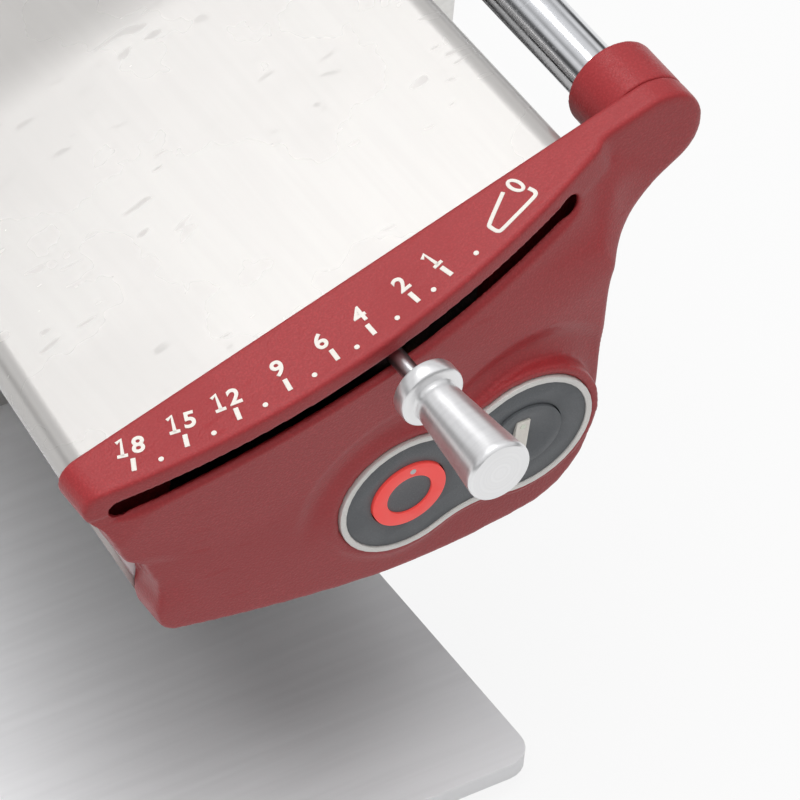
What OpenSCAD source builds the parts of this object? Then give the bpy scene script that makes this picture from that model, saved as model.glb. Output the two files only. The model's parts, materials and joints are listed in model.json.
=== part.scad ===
// Electric food slicer with a bridge body, an upright round blade and a sliding carriage.
// Millimetres, +Z up, +Y away from the operator, +X to the operator's right.
// The pieces are drawn in a working frame whose zero is the centre of the stop button on
// the front face; placed() then moves the whole machine so that it stands on z = 0 over the
// middle of its own footprint.

/* [Body] */
// Slope of the top cover, up towards the blade side, in degrees
slope = 19.4; // [12:0.2:26]
// Distance of the top cover from the stop button's centre, square to the cover
cover_h = 68.5; // [66:0.5:76]
// Width of the cover along its slope, from the button's centre to the left edge, at the front
cover_left = 88; // [86:0.5:100]
// Width of the cover along its slope, from the button's centre to the right edge
cover_right = 91; // [88:0.5:94]
// Angle by which the left side draws in towards the rear
taper = 6; // [3:0.25:8]
// Distance behind the face where the cover begins to fall towards the rear
crease_y = 150; // [130:1:170]
// Fall of the cover behind the crease, in degrees
fall = 5; // [0:0.5:6]
// Clearance between the blade's guard and the rear cap
rear_gap = 4; // [3:0.5:10]
// Height of the body's underside below the button's centre
floor_drop = 31; // [29:0.5:40]
// Thickness of the sheet metal
sheet = 1.5; // [1:0.1:2]

/* [Base] */
// Height of the plate's top above the table
plate_h = 14; // [12:0.5:20]
// Clearance between the blade's lowest edge and the plate's top
blade_clear = 23; // [20:0.5:30]
// Depth of the plate's folded rim
rim = 6; // [5:0.5:9]
// How far the plate's front edge stands in front of the button's centre
plate_front = 2; // [0:0.5:8]
// Left edge of the plate, from the button's centre
plate_left = 112; // [106:1:130]
// Right edge of the plate's front part, from the button's centre
plate_right = 56.5; // [52:0.5:60]
// Distance behind the face at which the plate widens for the carriage rail
step_y = 104; // [100:1:115]
// Right edge of the plate's rear part, from the button's centre
rail_right = 124; // [122:1:140]
// Distance behind the face of the plate's rear edge
plate_rear = 372; // [366:1:400]
// Radius of the plate's corners
plate_r = 9; // [4:1:14]

/* [Front cap] */
// How far the face's middle stands in front of the button's centre
bulge = 3.7; // [3:0.1:5]
// Radius of the face's curve seen from above
face_r = 440; // [380:10:500]
// Distance of the cap's rear edge behind the button's centre
cap_back = 23.5; // [22:0.5:26]
// Wall of the caps
wall = 3; // [2.5:0.1:3.5]
// How far the caps stand out beyond the cover's sides
cap_side = 5.3; // [3:0.1:6]
// Distance of the ear's front behind the button's centre
ear_front = 14.5; // [13:0.5:16]
// Length of the lever slot, end to end
slot_len = 162; // [158:1:164]
// Opening of the lever slot
slot_gap = 7.6; // [7:0.1:8.5]

/* [Rail tube] */
// Outer diameter of the chromed tube
tube_d = 17.5; // [16:0.5:19]
// Wall of the tube
tube_wall = 1.5; // [1:0.1:2]
// Distance of the tube's axis beyond the cover's right edge, along the slope
tube_out = 18.6; // [17.5:0.1:20]
// How far the tube's socket stands out behind the front cap
socket_len = 18; // [14:0.5:20]
// Outer diameter of the socket that holds the tube
socket_d = 29; // [27:0.5:31]

/* [Buttons] */
// Diameter of the buttons
button_d = 24; // [22:0.5:26]
// Distance of the start button from the stop button
button_gap = 38.5; // [37:0.5:42]
// Angle at which the start button lies above the stop button
button_rise = 11; // [5:1:18]
// Travel of a button
button_travel = 1; // [0.6:0.1:1.4]

/* [Thickness lever] */
// Distance of the lever's pivot behind the button's centre
pivot_y = 215; // [210:1:220]
// Place of the pivot along the slope
pivot_e = 9.8; // [6:0.2:12]
// Diameter of the lever's stem
stem_d = 5.5; // [5:0.1:6]
// Largest diameter of the knob
knob_d = 20.4; // [18:0.2:22]
// Length of the knob
knob_len = 40; // [34:0.5:46]
// Distance from the face to the knob
knob_gap = 12; // [11.5:0.5:15]
// Diameter of the drive pin
pin_d = 6; // [5:0.25:7]
// Swing of the lever to the left of rest, to the thickest cut, in degrees
swing_left = 21.4; // [18:0.2:21.6]
// Swing of the lever to the right of rest, to zero, in degrees
swing_right = 15.8; // [12:0.2:16]

/* [Stop plate] */
// Thickness of the stop plate
stop_t = 4; // [3:0.25:5]
// Travel of the stop plate over the lever's whole swing
stop_travel = 18; // [14:0.5:18.5]
// Diameter of the guide rods
guide_d = 8; // [7:0.5:10]

/* [Blade] */
// Diameter of the blade
blade_d = 190; // [180:1:194]
// Thickness of the blade
blade_t = 1.8; // [1.2:0.1:2.5]
// Distance of the blade's axis behind the button's centre
blade_y = 196; // [190:1:200]
// Gap between the blade's top edge and the lower end of the cover's right lip
blade_top_gap = 1.8; // [1.6:0.1:6]
// Distance of the cutting edge's plane from the cover's right side
edge_out = 7.9; // [7.8:0.1:9]
// Diameter of the blade's shaft
shaft_d = 12; // [10:0.5:14]

/* [Drive] */
// Module of the gear pair
gear_m = 1.25; // [1:0.25:1.25]
// Teeth of the gear on the blade's shaft
gear_n = 48; // [44:1:50]
// Teeth of the motor pinion
pinion_n = 12; // [11:1:14]
// Diameter of the motor
motor_d = 58; // [52:1:60]
// Length of the motor's stator
motor_len = 46; // [40:1:50]

/* [Carriage] */
// Width of the carriage table across the machine
table_w = 88; // [84:1:100]
// Length of the carriage table along its travel
table_len = 146; // [140:1:160]
// Height of the table's top above the blade's lowest edge
table_over = 7; // [4:0.5:12]
// Travel of the carriage
carriage_travel = 180; // [160:5:186]
// Height of the carriage's back wall
back_h = 92; // [80:1:110]
// Width of the dovetail rail
rail_w = 26; // [22:1:30]
// Travel of the food pusher towards the blade
pusher_travel = 62; // [56:1:66]

/* [Hidden] */

// Running gap between a turning or sliding pair, on the radius
fit = 0.05;
// Gap between pieces of different bodies that pass each other
gap = 0.3;
// Overshoot of a cut past the face it leaves
cut = 1;

// Cover: lean of the left wall, radius of the rolled edges, height of the right lip
lean = 26.9;
roll_r = 8;
lip = 12;
cover_x = tp(cover_right, cover_h)[0];
cover_x0 = tp(-cover_left, cover_h)[0];
cover_z = top_z(cover_x, cover_h);

// Blade, guard and what stands at their height
blade_z = cover_z - lip - blade_top_gap - blade_d / 2;
edge_x = cover_x + edge_out;
guard_r = blade_d / 2 + 3;
guard_t = 2.5;
plate_z = blade_z - blade_d / 2 - blade_clear;
table_z = plate_z - plate_h;
table_x = edge_x + 2;
table_top = blade_z - blade_d / 2 + table_over;

// Caps and tube
cap_y = cap_back;
rear_y = blade_y + guard_r + guard_t + rear_gap;
body_len = rear_y + cap_back;
cap_right = cover_x + cap_side;

// Ear: a round lobe that touches the strip's plane, with the tube a little off its middle
proud = 0.8;
lobe_r = socket_d / 2;
lobe_h = cover_h + proud - lobe_r;
lobe = tp(cover_right + tube_out + 2, lobe_h);
tube_x = tp(cover_right + tube_out, lobe_h - 0.5)[0];
tube_z = tp(cover_right + tube_out, lobe_h - 0.5)[1];

// Lever slot, and the middle of the face's curve along the slope
slot_h = cover_h - 9;
slot_e = -1;
face_e = 9;
face_lean = 4;

// Lever: half its width, its stem's block and its height over the cover's slope
arm_t = 3;
arm_w = 14;
arm_y = cap_y + 1.5;
arm_h = slot_h - 6;
swing = swing_left + swing_right;
slide_rate = stop_travel / (swing * PI / 180);
crank_r = slide_rate * cos(slope) * 1.018;
stop_rest = slide_rate * swing_right * PI / 180;
stop_x = edge_x - stop_rest - stop_t;
floor_t = 2.5;
motor_clear = 1.5;
motor_z = -floor_drop + floor_t + motor_d / 2 + motor_clear;
motor_rise = motor_z - blade_z;
gear_gap = gear_m * (gear_n + pinion_n) / 2;
motor_y = blade_y + sqrt(gear_gap * gear_gap - motor_rise * motor_rise);

// Frame: the cast wall's place, and how far it is cut down to let the lever's arm over it
frame_t = 6;
frame_x = 38;
frame_z = -floor_drop - 3;
frame_low = frame_z + 100;
cross_e = (frame_x + arm_h * sin(slope)) / cos(slope);
frame_low_y = pivot_y - (cross_e - pivot_e - arm_w / 2 / cos(swing_right)) / tan(swing_right) + 6;

carriage_y = plate_rear - 8 - table_len;
foot_len = 64;
foot_y1 = carriage_y + table_len - 4;
knob_tip = bulge + knob_gap + knob_len;
x_mid = (table_x + table_w - plate_left) / 2;
y_mid = (plate_rear - knob_tip) / 2;

// Section point at distance e along the slope and h square to it
function tp(e, h) = [e * cos(slope) - h * sin(slope), e * sin(slope) + h * cos(slope)];

// Height over x of the line that lies h from the centre, square to the slope
function top_z(x, h) = (h + x * sin(slope)) / cos(slope);

// Points of an arc about c from angle a to angle b
function arc(c, r, a, b, n = 6) = [for (i = [0:n]) let (t = a + (b - a) * i / n)
  c + r * [cos(t), sin(t)]];

// Corner b between a and c, rounded with radius r
function corner(a, b, c, r, n) = r == 0 ? [b] :
  let (u = (a - b) / norm(a - b), v = (c - b) / norm(c - b),
    half = acos(u * v) / 2,
    m = b + (u + v) / norm(u + v) * r / sin(half),
    s = b + u * r / tan(half) - m, e = b + v * r / tan(half) - m,
    t0 = atan2(s[1], s[0]), turn = atan2(e[1], e[0]) - t0,
    t1 = t0 + (turn > 180 ? turn - 360 : turn < -180 ? turn + 360 : turn))
  arc(m, r, t0, t1, n);

// Outline whose points are [x, y, corner radius]
function rounded(p, n = 6) = let (k = len(p)) [for (i = [0:k - 1])
  each corner([p[(i + k - 1) % k][0], p[(i + k - 1) % k][1]], [p[i][0], p[i][1]],
    [p[(i + 1) % k][0], p[(i + 1) % k][1]], p[i][2], n)];

function box_outline(x0, y0, x1, y1, r) = rounded([[x0, y0, r], [x1, y0, r], [x1, y1, r], [x0, y1, r]]);

// Fall of the cover at distance y behind the face
function drop(y) = max(0, y - crease_y) * tan(fall);

// The left wall's x at height 0, at distance y, moved in by the inset
function left_x(y, inset = 0) = let (a = tp(-cover_left, cover_h))
  a[0] + a[1] * tan(lean) + (y - cap_y) * tan(taper) + inset / cos(lean);

// Section of the body at distance y, moved in by the inset
function section(y, inset, base) = let (h = cover_h - drop(y) - inset, x0 = left_x(y, inset),
    x = (x0 - tan(lean) * h / cos(slope)) / (1 + tan(lean) * tan(slope)), r = cover_x - inset)
  rounded([[x, top_z(x, h), roll_r - inset], [r, top_z(r, h), roll_r - inset],
    [r, base, 0], [x0 - base * tan(lean), base, 0]]);

module along_y(y0, y1) translate([0, y1, 0]) rotate([90, 0, 0]) linear_extrude(y1 - y0) children();
module along_x(x0, x1) translate([x0, 0, 0]) rotate([90, 0, 90]) linear_extrude(x1 - x0) children();
module tilt() rotate([0, -slope, 0]) children();
module rod_x(d, x0, x1, y, z, fn = 48)
  translate([x0, y, z]) rotate([0, 90, 0]) cylinder(d = d, h = x1 - x0, $fn = fn);
module rod_y(d, y0, y1, x, z, fn = 48)
  translate([x, y0, z]) rotate([-90, 0, 0]) cylinder(d = d, h = y1 - y0, $fn = fn);
module rod_z(d, z0, z1, x, y, fn = 48)
  translate([x, y, z0]) cylinder(d = d, h = z1 - z0, $fn = fn);
module box(x0, x1, y0, y1, z0, z1) translate([x0, y0, z0]) cube([x1 - x0, y1 - y0, z1 - z0]);

// The body's wedge from y0 to y1, moved in by the inset, down to the height base
module wedge(y0, y1, inset, base) hull() for (y = [y0, crease_y, y1])
  along_y(y - 0.005, y + 0.005) polygon(section(y, inset, base));

// Base: a pressed plate with a folded rim, wider at the rear for the carriage rail
plate_pts = [[-plate_left, -plate_front], [plate_right, -plate_front], [plate_right, step_y],
  [rail_right, step_y], [rail_right, plate_rear], [plate_right, plate_rear],
  [plate_right, body_len + 10], [-plate_left, body_len + 10]];
function plate_outline(in) = let (w = plate_pts, s = [[1, 1], [-1, 1], [-1, 1], [-1, 1], [-1, -1],
    [1, -1], [1, -1], [1, -1]], r = [1, 1, 0.6, 1, 1, 1, 0.6, 1])
  rounded([for (i = [0:7]) [w[i][0] + s[i][0] * in, w[i][1] + s[i][1] * in,
    max(0.5, plate_r * r[i] - (i == 2 || i == 6 ? -in : in))]]);
foot_d = 26;
foot_at = [[-plate_left + 22, 14], [plate_right - 20, 16], [-plate_left + 22, body_len - 12],
  [rail_right - 18, plate_rear - 18], [rail_right - 18, step_y + 18]];
stud_d = 4;
pillar_h = -floor_drop - plate_z;
pillar_len = 94;
pillar_r = 14;
pillar_x0 = -frame_x;
pillar_x1 = frame_x - 6;
pillar_y1 = rear_y - 2.5;
pillar_y0 = pillar_y1 - pillar_len;
pillar_at = [for (x = [pillar_x0 + 10, pillar_x1 - 10]) for (y = [pillar_y0 + 10, pillar_y1 - 10]) [x, y]];
rail_x = table_x + 11;
rail_h = 10;
rail_y0 = foot_y1 - foot_len - carriage_travel - 4;
rail_y1 = plate_rear - 6;
rail_screw_at = [for (y = [rail_y0 + 40, rail_y1 - 50]) [rail_x + rail_w / 2, y]];
gland_x = -3;
gland_z = plate_z + 30;
gland_d = 12;
gland_bore = 7;

module base_plate() color("gainsboro") difference() {
  translate([0, 0, plate_z - rim]) linear_extrude(rim) polygon(plate_outline(0));
  translate([0, 0, plate_z - rim - cut]) linear_extrude(rim + cut - sheet) polygon(plate_outline(sheet));
  for (p = concat(pillar_at, rail_screw_at)) rod_z(stud_d, plate_z - rim, plate_z + cut, p[0], p[1], 24);
}

module foot_studs() color("silver") for (p = foot_at)
  rod_z(stud_d, table_z + 4, plate_z - sheet, p[0], p[1], 24);

module feet() color("dimgray") for (p = foot_at) translate([p[0], p[1], table_z]) rotate_extrude($fn = 40)
  polygon([[stud_d / 2, plate_h - sheet], [stud_d / 2, 7], [6, 7], [6, 0], [foot_d / 2 - 2, 0],
    [foot_d / 2, 2], [foot_d / 2 - 1.5, plate_h - sheet]]);

module foot_nuts() color("silver") for (p = foot_at) translate([p[0], p[1], table_z + 3.8]) difference() {
  cylinder(d = 7.7, h = 3.2, $fn = 6);
  translate([0, 0, -cut]) cylinder(d = stud_d, h = 3.2 + 2 * cut, $fn = 24);
}

// Pillar: the hollow foot under the rear of the body
module pillar() color("gainsboro") {
  difference() {
    translate([0, 0, plate_z]) linear_extrude(pillar_h)
      polygon(box_outline(pillar_x0, pillar_y0, pillar_x1, pillar_y1, pillar_r));
    translate([0, 0, plate_z - cut]) linear_extrude(pillar_h + 2 * cut)
      polygon(box_outline(pillar_x0 + wall, pillar_y0 + wall, pillar_x1 - wall, pillar_y1 - wall,
        pillar_r - wall));
    rod_y(gland_d, pillar_y1 - wall - cut, pillar_y1 + cut, gland_x, gland_z, 48);
    box(casing_x0, frame_x, casing_y0, casing_y1, casing_z, -floor_drop + cut);
  }
  for (p = pillar_at) difference() {
    union() {
      rod_z(11, plate_z, plate_z + 22, p[0], p[1], 32);
      box(p[0] < 0 ? pillar_x0 + 1 : p[0], p[0] < 0 ? p[0] : pillar_x1 - 1, p[1] - 2, p[1] + 2,
        plate_z, plate_z + 22);
    }
    rod_z(stud_d, plate_z - cut, plate_z + 16 - sheet, p[0], p[1], 24);
  }
}

module screw_z(d, z, x, y, len) {
  rod_z(d, z, z + len, x, y, 24);
  rod_z(2 * d, z - 0.6 * d, z, x, y, 24);
}

module base_screws() color("silver") {
  for (p = pillar_at) screw_z(stud_d, plate_z - sheet, p[0], p[1], 16);
  for (p = rail_screw_at) screw_z(stud_d, plate_z - sheet, p[0], p[1], 8);
}

// Underside of the body and the casing that the large gear dips into
casing_x0 = 14;
casing_y0 = blade_y - gear_m * gear_n / 2 - 6;
casing_y1 = blade_y + gear_m * gear_n / 2 + 6;
casing_z = blade_z - gear_m * gear_n / 2 - 6;
motor_x0 = -40;
motor_x1 = motor_x0 + motor_len;
bracket_t = 6;
motor_foot_at = [for (x = [motor_x0 - bracket_t / 2, motor_x1 + bracket_t / 2])
  for (y = [motor_y - 16, motor_y + 16]) [x, y]];
module floor_pan() color("dimgray") difference() {
  translate([0, 0, -floor_drop]) linear_extrude(floor_t) polygon([
    [left_x(cap_y, sheet) + floor_drop * tan(lean) + gap, cap_y], [frame_x, cap_y], [frame_x, rear_y],
    [left_x(rear_y, sheet) + floor_drop * tan(lean) + gap, rear_y]]);
  box(casing_x0 + 2, frame_x + cut, casing_y0 + 2, casing_y1 - 2,
    -floor_drop - cut, -floor_drop + floor_t + cut);
  box(pillar_x0 + 10, 0, motor_y, motor_y + 40, -floor_drop - cut, -floor_drop + floor_t + cut);
  for (p = motor_foot_at) rod_z(stud_d, -floor_drop - cut, -floor_drop + floor_t + cut, p[0], p[1], 24);
}

module gear_casing() color("dimgray") difference() {
  box(casing_x0, frame_x, casing_y0, casing_y1, casing_z, -floor_drop);
  box(casing_x0 + 2, frame_x - 2, casing_y0 + 2, casing_y1 - 2, casing_z + 2, -floor_drop + cut);
}

// Cast frame: the upright wall that carries the blade, the guides and the motor
bearing_d = 28;
bearing_w = 8;
boss_x = 60;
guide_y = 62;
guide_z = [40, -14];
bush_d = 12;
post_r = blade_d / 2 - 10;
post_at = [for (a = [20, 58, 94]) [blade_y + post_r * cos(a), blade_z + post_r * sin(a)]];
post_d = 9;
frame_pts = let (top = top_z(frame_x, cover_h - sheet) - 1) [[cap_y, frame_z], [rear_y, frame_z],
  [rear_y, top_z(frame_x, cover_h - drop(rear_y) - sheet) - 1], [crease_y, top],
  [frame_low_y + 12, top], [frame_low_y, frame_low], [cap_y, frame_low]];

module side_frame() color("silver") difference() {
  union() {
    along_x(frame_x, frame_x + frame_t) polygon(frame_pts);
    rod_x(bearing_d + 8, frame_x, boss_x, blade_y, blade_z, 64);
  }
  rod_x(bearing_d, frame_x - cut, frame_x + bearing_w, blade_y, blade_z, 64);
  rod_x(bearing_d, boss_x - bearing_w, boss_x + cut, blade_y, blade_z, 64);
  rod_x(shaft_d + 6, frame_x, boss_x, blade_y, blade_z, 64);
  for (z = guide_z) rod_x(bush_d, frame_x - cut, frame_x + frame_t + cut, guide_y, z, 48);
  for (p = post_at) rod_x(stud_d, frame_x - cut, frame_x + frame_t + cut, p[0], p[1], 24);
}

module frame_screws() color("silver") for (p = post_at) {
  rod_x(stud_d, frame_x, frame_x + frame_t + 10, p[0], p[1], 24);
  rod_x(2 * stud_d, frame_x - 2.4, frame_x, p[0], p[1], 24);
}

// Sheet cover: the sloped top, the rolled edges, the left wall and a lip on the right
module top_cover() color("whitesmoke") difference() {
  wedge(cap_y, rear_y, 0, -floor_drop);
  wedge(cap_y - 2, rear_y + 2, sheet, -floor_drop - cut);
  hull() for (y = [cap_y - 3, crease_y, rear_y + 3]) along_y(y - 0.005, y + 0.005)
    polygon([[0, -floor_drop - 2], [cover_x + 2, -floor_drop - 2],
      [cover_x + 2, top_z(cover_x, cover_h - drop(y)) - lip],
      [0, top_z(cover_x, cover_h - drop(y)) - lip - 30]]);
}

// Caps: red mouldings that close both ends and hold the rail tube in round sockets
rise = 42;
dip = 55;
function cap_left(dx) = cover_x0 - cap_side + dx;
function cap_outline(h, dx, dz) = let (
    step = h < cover_h - 1.5,
    turn = step ? rise : slope,
    t1 = lobe + lobe_r * [cos(90 + turn), sin(90 + turn)],
    t2 = lobe + lobe_r * [cos(-dip), sin(-dip)],
    k = step ? (top_z(t1[0], h) - t1[1]) / (sin(rise) - cos(rise) * tan(slope)) : 0,
    x0 = cap_left(dx))
  rounded(concat(
    [[x0, top_z(x0, h), 7]], step ? [[t1[0] + k * cos(rise), t1[1] + k * sin(rise), 12]] : [],
    [for (q = arc(lobe, lobe_r, 90 + turn, -dip, 16)) [q[0], q[1], 0]],
    [[cap_right, t2[1] - (t2[0] - cap_right) / tan(dip), 26], [cap_right, -floor_drop + 2, 24],
     [5, -floor_drop - 4, 300], [x0 + 37, -floor_drop, 7], [x0 + 33, -16 + dz, 8],
    [x0 + 13, 22 + dz, 5]]), 6);

function cap_hollow(h, dx, dz) = let (x0 = cap_left(dx), x1 = cap_right - wall)
  rounded([[x0 + 8, top_z(x0 + 8, h - wall), 4], [x1, top_z(x1, h - wall), 6],
    [x1, -floor_drop + 4, 20], [5, -floor_drop - 1, 300], [x0 + 40, -floor_drop + wall, 5],
    [x0 + 36.5, -16 + dz, 8], [x0 + 17, 20 + dz, 5]], 6);

// Pocket in the ear, from the body's side to its round end
function ear_pocket() = let (x = cap_right - wall - 4, r = lobe_r - wall,
    end = lobe + r * [cos(-dip), sin(-dip)])
  concat([[x, top_z(x, cover_h + proud - wall)]], arc(lobe, r, 90 + slope, -dip, 16),
    [[x, end[1] - (end[0] - x) / tan(dip)]]);

// Round front of the face, moved back by d
module face_drum(d) tilt() translate([face_e, 0, slot_h]) rotate([face_lean, 0, 0])
  translate([0, face_r - bulge + d, -250]) cylinder(r = face_r, h = 500, $fn = 180);

// What is in front of the ear, with a round hollow where the ear meets the face
blend_r = 45;
blend_e = cover_right + tube_out + 0.4;
module ear_recess() tilt() {
  translate([blend_e, ear_front - blend_r, -200]) cylinder(r = blend_r, h = 400, $fn = 128);
  box(blend_e, blend_e + 2 * blend_r, -blend_r, ear_front, -200, 200);
}

// Frame on the face: x right, y up, z outwards, zero at the stop button
face_pitch = 3.8;
face_yaw = 1.9;
module on_face() rotate([90 + face_pitch, 0, -face_yaw]) children();
start_at = button_gap * [cos(button_rise), sin(button_rise)];

// Two circles joined by a waist
panel_r = 22.6;
waist_r = 26;
module peanut(r) let (g = button_gap, w = waist_r + panel_r - r, yc = sqrt(pow(r + w, 2) - pow(g / 2, 2)),
    t = atan2(yc, g / 2)) rotate(button_rise) polygon(concat(
  open_arc([0, 0], r, t, 360 - t, 24), open_arc([g / 2, -yc], w, 180 - t, t, 8),
  open_arc([g, 0], r, t - 180, 180 - t, 24), open_arc([g / 2, yc], w, -t, t - 180, 8)));
function open_arc(c, r, a, b, n) = [for (i = [0:n - 1]) let (t = a + (b - a) * i / n)
  c + r * [cos(t), sin(t)]];
bezel_w = 2;
island_w = 3;
board_z = -14;
panel_t = 2.4;
button_fit = 0.35;

module lever_slot() tilt() let (half = (slot_len - slot_gap) / 2) {
  for (s = [-1, 1]) rod_y(slot_gap, -bulge - 10, 14, slot_e + s * half, slot_h, 32);
  box(slot_e - half, slot_e + half, -bulge - 10, 14, slot_h - slot_gap / 2, slot_h + slot_gap / 2);
}

// Strip above the slot: middle, radius and half angle of its round front edge, seen from above
strip_e = -3;
strip_r = 293;
strip_turn = 20;
strip_back = 60;
module strip_prism(d) tilt() translate([0, 0, slot_h]) linear_extrude(2 * cover_h) polygon(concat(
  [[strip_r / 2, strip_back], [-strip_r / 2, strip_back]],
  open_arc([strip_e, strip_r - bulge], strip_r - d, 270 - strip_turn, 270 + strip_turn, 40)));

// Cone that draws the face back under the strip's edge, moved back by d
lip_in = 0.4;
lip_rise = 0.2;
lip_depth = 2 * cover_h;
module under_strip(d) tilt() translate([strip_e, strip_r - bulge, slot_h - lip_depth])
  cylinder(r1 = strip_r - lip_in - d + lip_rise * lip_depth, r2 = strip_r - lip_in - d,
    h = lip_depth, $fn = 180);

// Depth of the face below the slot behind the strip above it
face_step = 0.6;
module front_cap() color("firebrick") difference() {
  union() {
    intersection() {
      along_y(-bulge - 4, cap_y) polygon(cap_outline(cover_h + proud, 0, 0));
      union() {
        difference() {
          intersection() {
            face_drum(face_step);
            under_strip(0);
          }
          ear_recess();
        }
        strip_prism(0);
        box(cap_right - 2, lobe[0] + 2 * lobe_r, ear_front, 2 * cap_y,
          lobe[1] - 3 * lobe_r, lobe[1] + 3 * lobe_r);
      }
    }
    on_face() translate([0, 0, board_z]) linear_extrude(-board_z - 0.4) peanut(panel_r + island_w);
  }
  intersection() {
    along_y(-bulge - 4, cap_y + cut) polygon(cap_hollow(cover_h + proud, 0, 0));
    face_drum(wall + face_step);
    union() {
      under_strip(wall);
      strip_prism(wall);
    }
  }
  along_y(ear_front + wall, cap_y + cut) polygon(ear_pocket());
  on_face() translate([0, 0, -panel_t]) linear_extrude(10) peanut(panel_r);
  on_face() translate([0, 0, board_z - cut]) linear_extrude(20) peanut(panel_r - bezel_w - 2);
  lever_slot();
}

// Carrier: a plate inside the front cap, with the tube's socket on its ear
carrier_t = 6;
tube_y0 = cap_y + 3;
tube_y1 = rear_y + 5;
screw_d = 5;
screw_head = 9;
head_t = 3;
head_y = ear_front + wall + gap + head_t;
module front_carrier() color("firebrick") difference() {
  union() {
    along_y(cap_y - carrier_t, cap_y) polygon(cap_hollow(cover_h + proud, 0, 0));
    along_y(ear_front + wall + gap, cap_y) polygon(ear_pocket());
    rod_y(2 * lobe_r, cap_y, cap_y + socket_len, lobe[0], lobe[1], 64);
  }
  along_y(cap_y - carrier_t - cut, cap_y + cut) polygon(rounded([[cap_left(41), -10, 6],
    [cap_left(41), 26, 4], [frame_x - 4, 62, 6], [frame_x - 4, -22, 6], [cap_left(51), -22, 6]]));
  rod_y(tube_d, tube_y0, cap_y + socket_len + cut, tube_x, tube_z, 64);
  rod_y(screw_d, head_y - cut, tube_y0 + cut, tube_x, tube_z, 24);
  rod_y(screw_head + 1, ear_front, head_y, tube_x, tube_z, 32);
  tilt() box(slot_e - slot_len / 2, slot_e + slot_len / 2, 0, strip_back, slot_h - 6, slot_h + 5.5);
}

module rear_cap() color("firebrick") let (h = cover_h - drop(rear_y) + proud,
    dx = (rear_y - cap_y) * tan(taper)) difference() {
  union() {
    along_y(rear_y, body_len) polygon(cap_outline(h, dx, -3));
    rod_y(2 * lobe_r - 0.6, rear_y - 8, rear_y + 4, lobe[0], lobe[1], 64);
  }
  along_y(rear_y - cut, body_len - wall) polygon(cap_hollow(h, dx, -3));
  rod_y(tube_d, rear_y - 20, tube_y1, tube_x, tube_z, 64);
  rod_y(screw_d, tube_y1 - cut, body_len - 4, tube_x, tube_z, 24);
  rod_y(screw_head, body_len - 8, body_len + cut, tube_x, tube_z, 32);
}

module rail_tube() color("silver") difference() {
  rod_y(tube_d, tube_y0, tube_y1, tube_x, tube_z, 64);
  rod_y(tube_d - 2 * tube_wall, tube_y0 - cut, tube_y1 + cut, tube_x, tube_z, 64);
}

module tube_plugs() color("gray") for (y = [tube_y0, tube_y1 - 18]) difference() {
  rod_y(tube_d - 2 * tube_wall, y, y + 18, tube_x, tube_z, 48);
  rod_y(screw_d, y - cut, y + 18 + cut, tube_x, tube_z, 24);
}

module tube_screws() color("silver") {
  rod_y(screw_d, head_y, tube_y0 + 14, tube_x, tube_z, 24);
  rod_y(screw_head, head_y - head_t, head_y, tube_x, tube_z, 24);
  rod_y(screw_d, tube_y1 - 14, body_len - 8, tube_x, tube_z, 24);
  rod_y(screw_head, body_len - 8, body_len - 8 + head_t, tube_x, tube_z, 24);
}

// Button panel on the face
cap_t = 3;
module button_bezel() color("silver") on_face() translate([0, 0, -panel_t]) linear_extrude(panel_t + 0.6)
  difference() {
    peanut(panel_r);
    peanut(panel_r - bezel_w);
  }

module button_plate() color("dimgray") on_face() translate([0, 0, -panel_t]) linear_extrude(panel_t)
  difference() {
    peanut(panel_r - bezel_w);
    circle(d = button_d + 2 * button_fit, $fn = 64);
    translate(start_at) circle(d = button_d + 2 * button_fit, $fn = 64);
  }

dish_r = 34;
ring_in = 14.7;
module button_body() difference() {
  union() {
    translate([0, 0, -cap_t]) cylinder(d = button_d, h = cap_t + 0.8, $fn = 64);
    translate([0, 0, -cap_t - 1]) cylinder(d = button_d + 3, h = 1, $fn = 64);
    translate([0, 0, -cap_t - 3]) cylinder(d = 8, h = 4, $fn = 32);
  }
  translate([0, 0, dish_r - 0.6]) sphere(r = dish_r, $fn = 96);
}

module stop_button() color("dimgray") on_face() difference() {
  button_body();
  difference() {
    translate([0, 0, -1.4]) cylinder(d = button_d + 1, h = 4, $fn = 64);
    translate([0, 0, -2]) cylinder(d = ring_in, h = 5, $fn = 64);
  }
  translate([0, ring_in / 2 + 2.2, -2]) cylinder(d = 2, h = 4, $fn = 24);
}

module stop_ring() color("orangered") on_face() difference() {
  translate([0, 0, -1.4]) cylinder(d = button_d, h = 2.2, $fn = 64);
  translate([0, 0, -2]) cylinder(d = ring_in, h = 5, $fn = 64);
  translate([0, ring_in / 2 + 2.2, -2]) cylinder(d = 2, h = 4, $fn = 24);
}

module stop_lamp() color("white") on_face()
  translate([0, ring_in / 2 + 2.2, -2]) cylinder(d = 2, h = 2.9, $fn = 24);

bar_w = 4.4;
bar_l = 14;
bar_x = -1.4;
module start_button() color("dimgray") on_face() translate(start_at) difference() {
  button_body();
  translate([bar_x - bar_w / 2, -bar_l / 2, -1]) cube([bar_w, bar_l, 4]);
}

module start_bar() color("whitesmoke") on_face() translate(start_at) difference() {
  translate([bar_x - bar_w / 2, -bar_l / 2, -1]) cube([bar_w, bar_l, 1.8]);
  translate([bar_x, bar_l / 2 - 2.2, -cut - 1]) cylinder(d = 2, h = 4, $fn = 24);
}

module start_lamp() color("palegreen") on_face() translate(start_at)
  translate([bar_x, bar_l / 2 - 2.2, -1]) cylinder(d = 2, h = 1.9, $fn = 24);

board_over = 19;
board_t = 1.6;
module control_board() color("darkgreen") on_face() translate([-board_over, -17, board_z - board_t])
  cube([button_gap + 2 * board_over, 42, board_t]);

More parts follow.
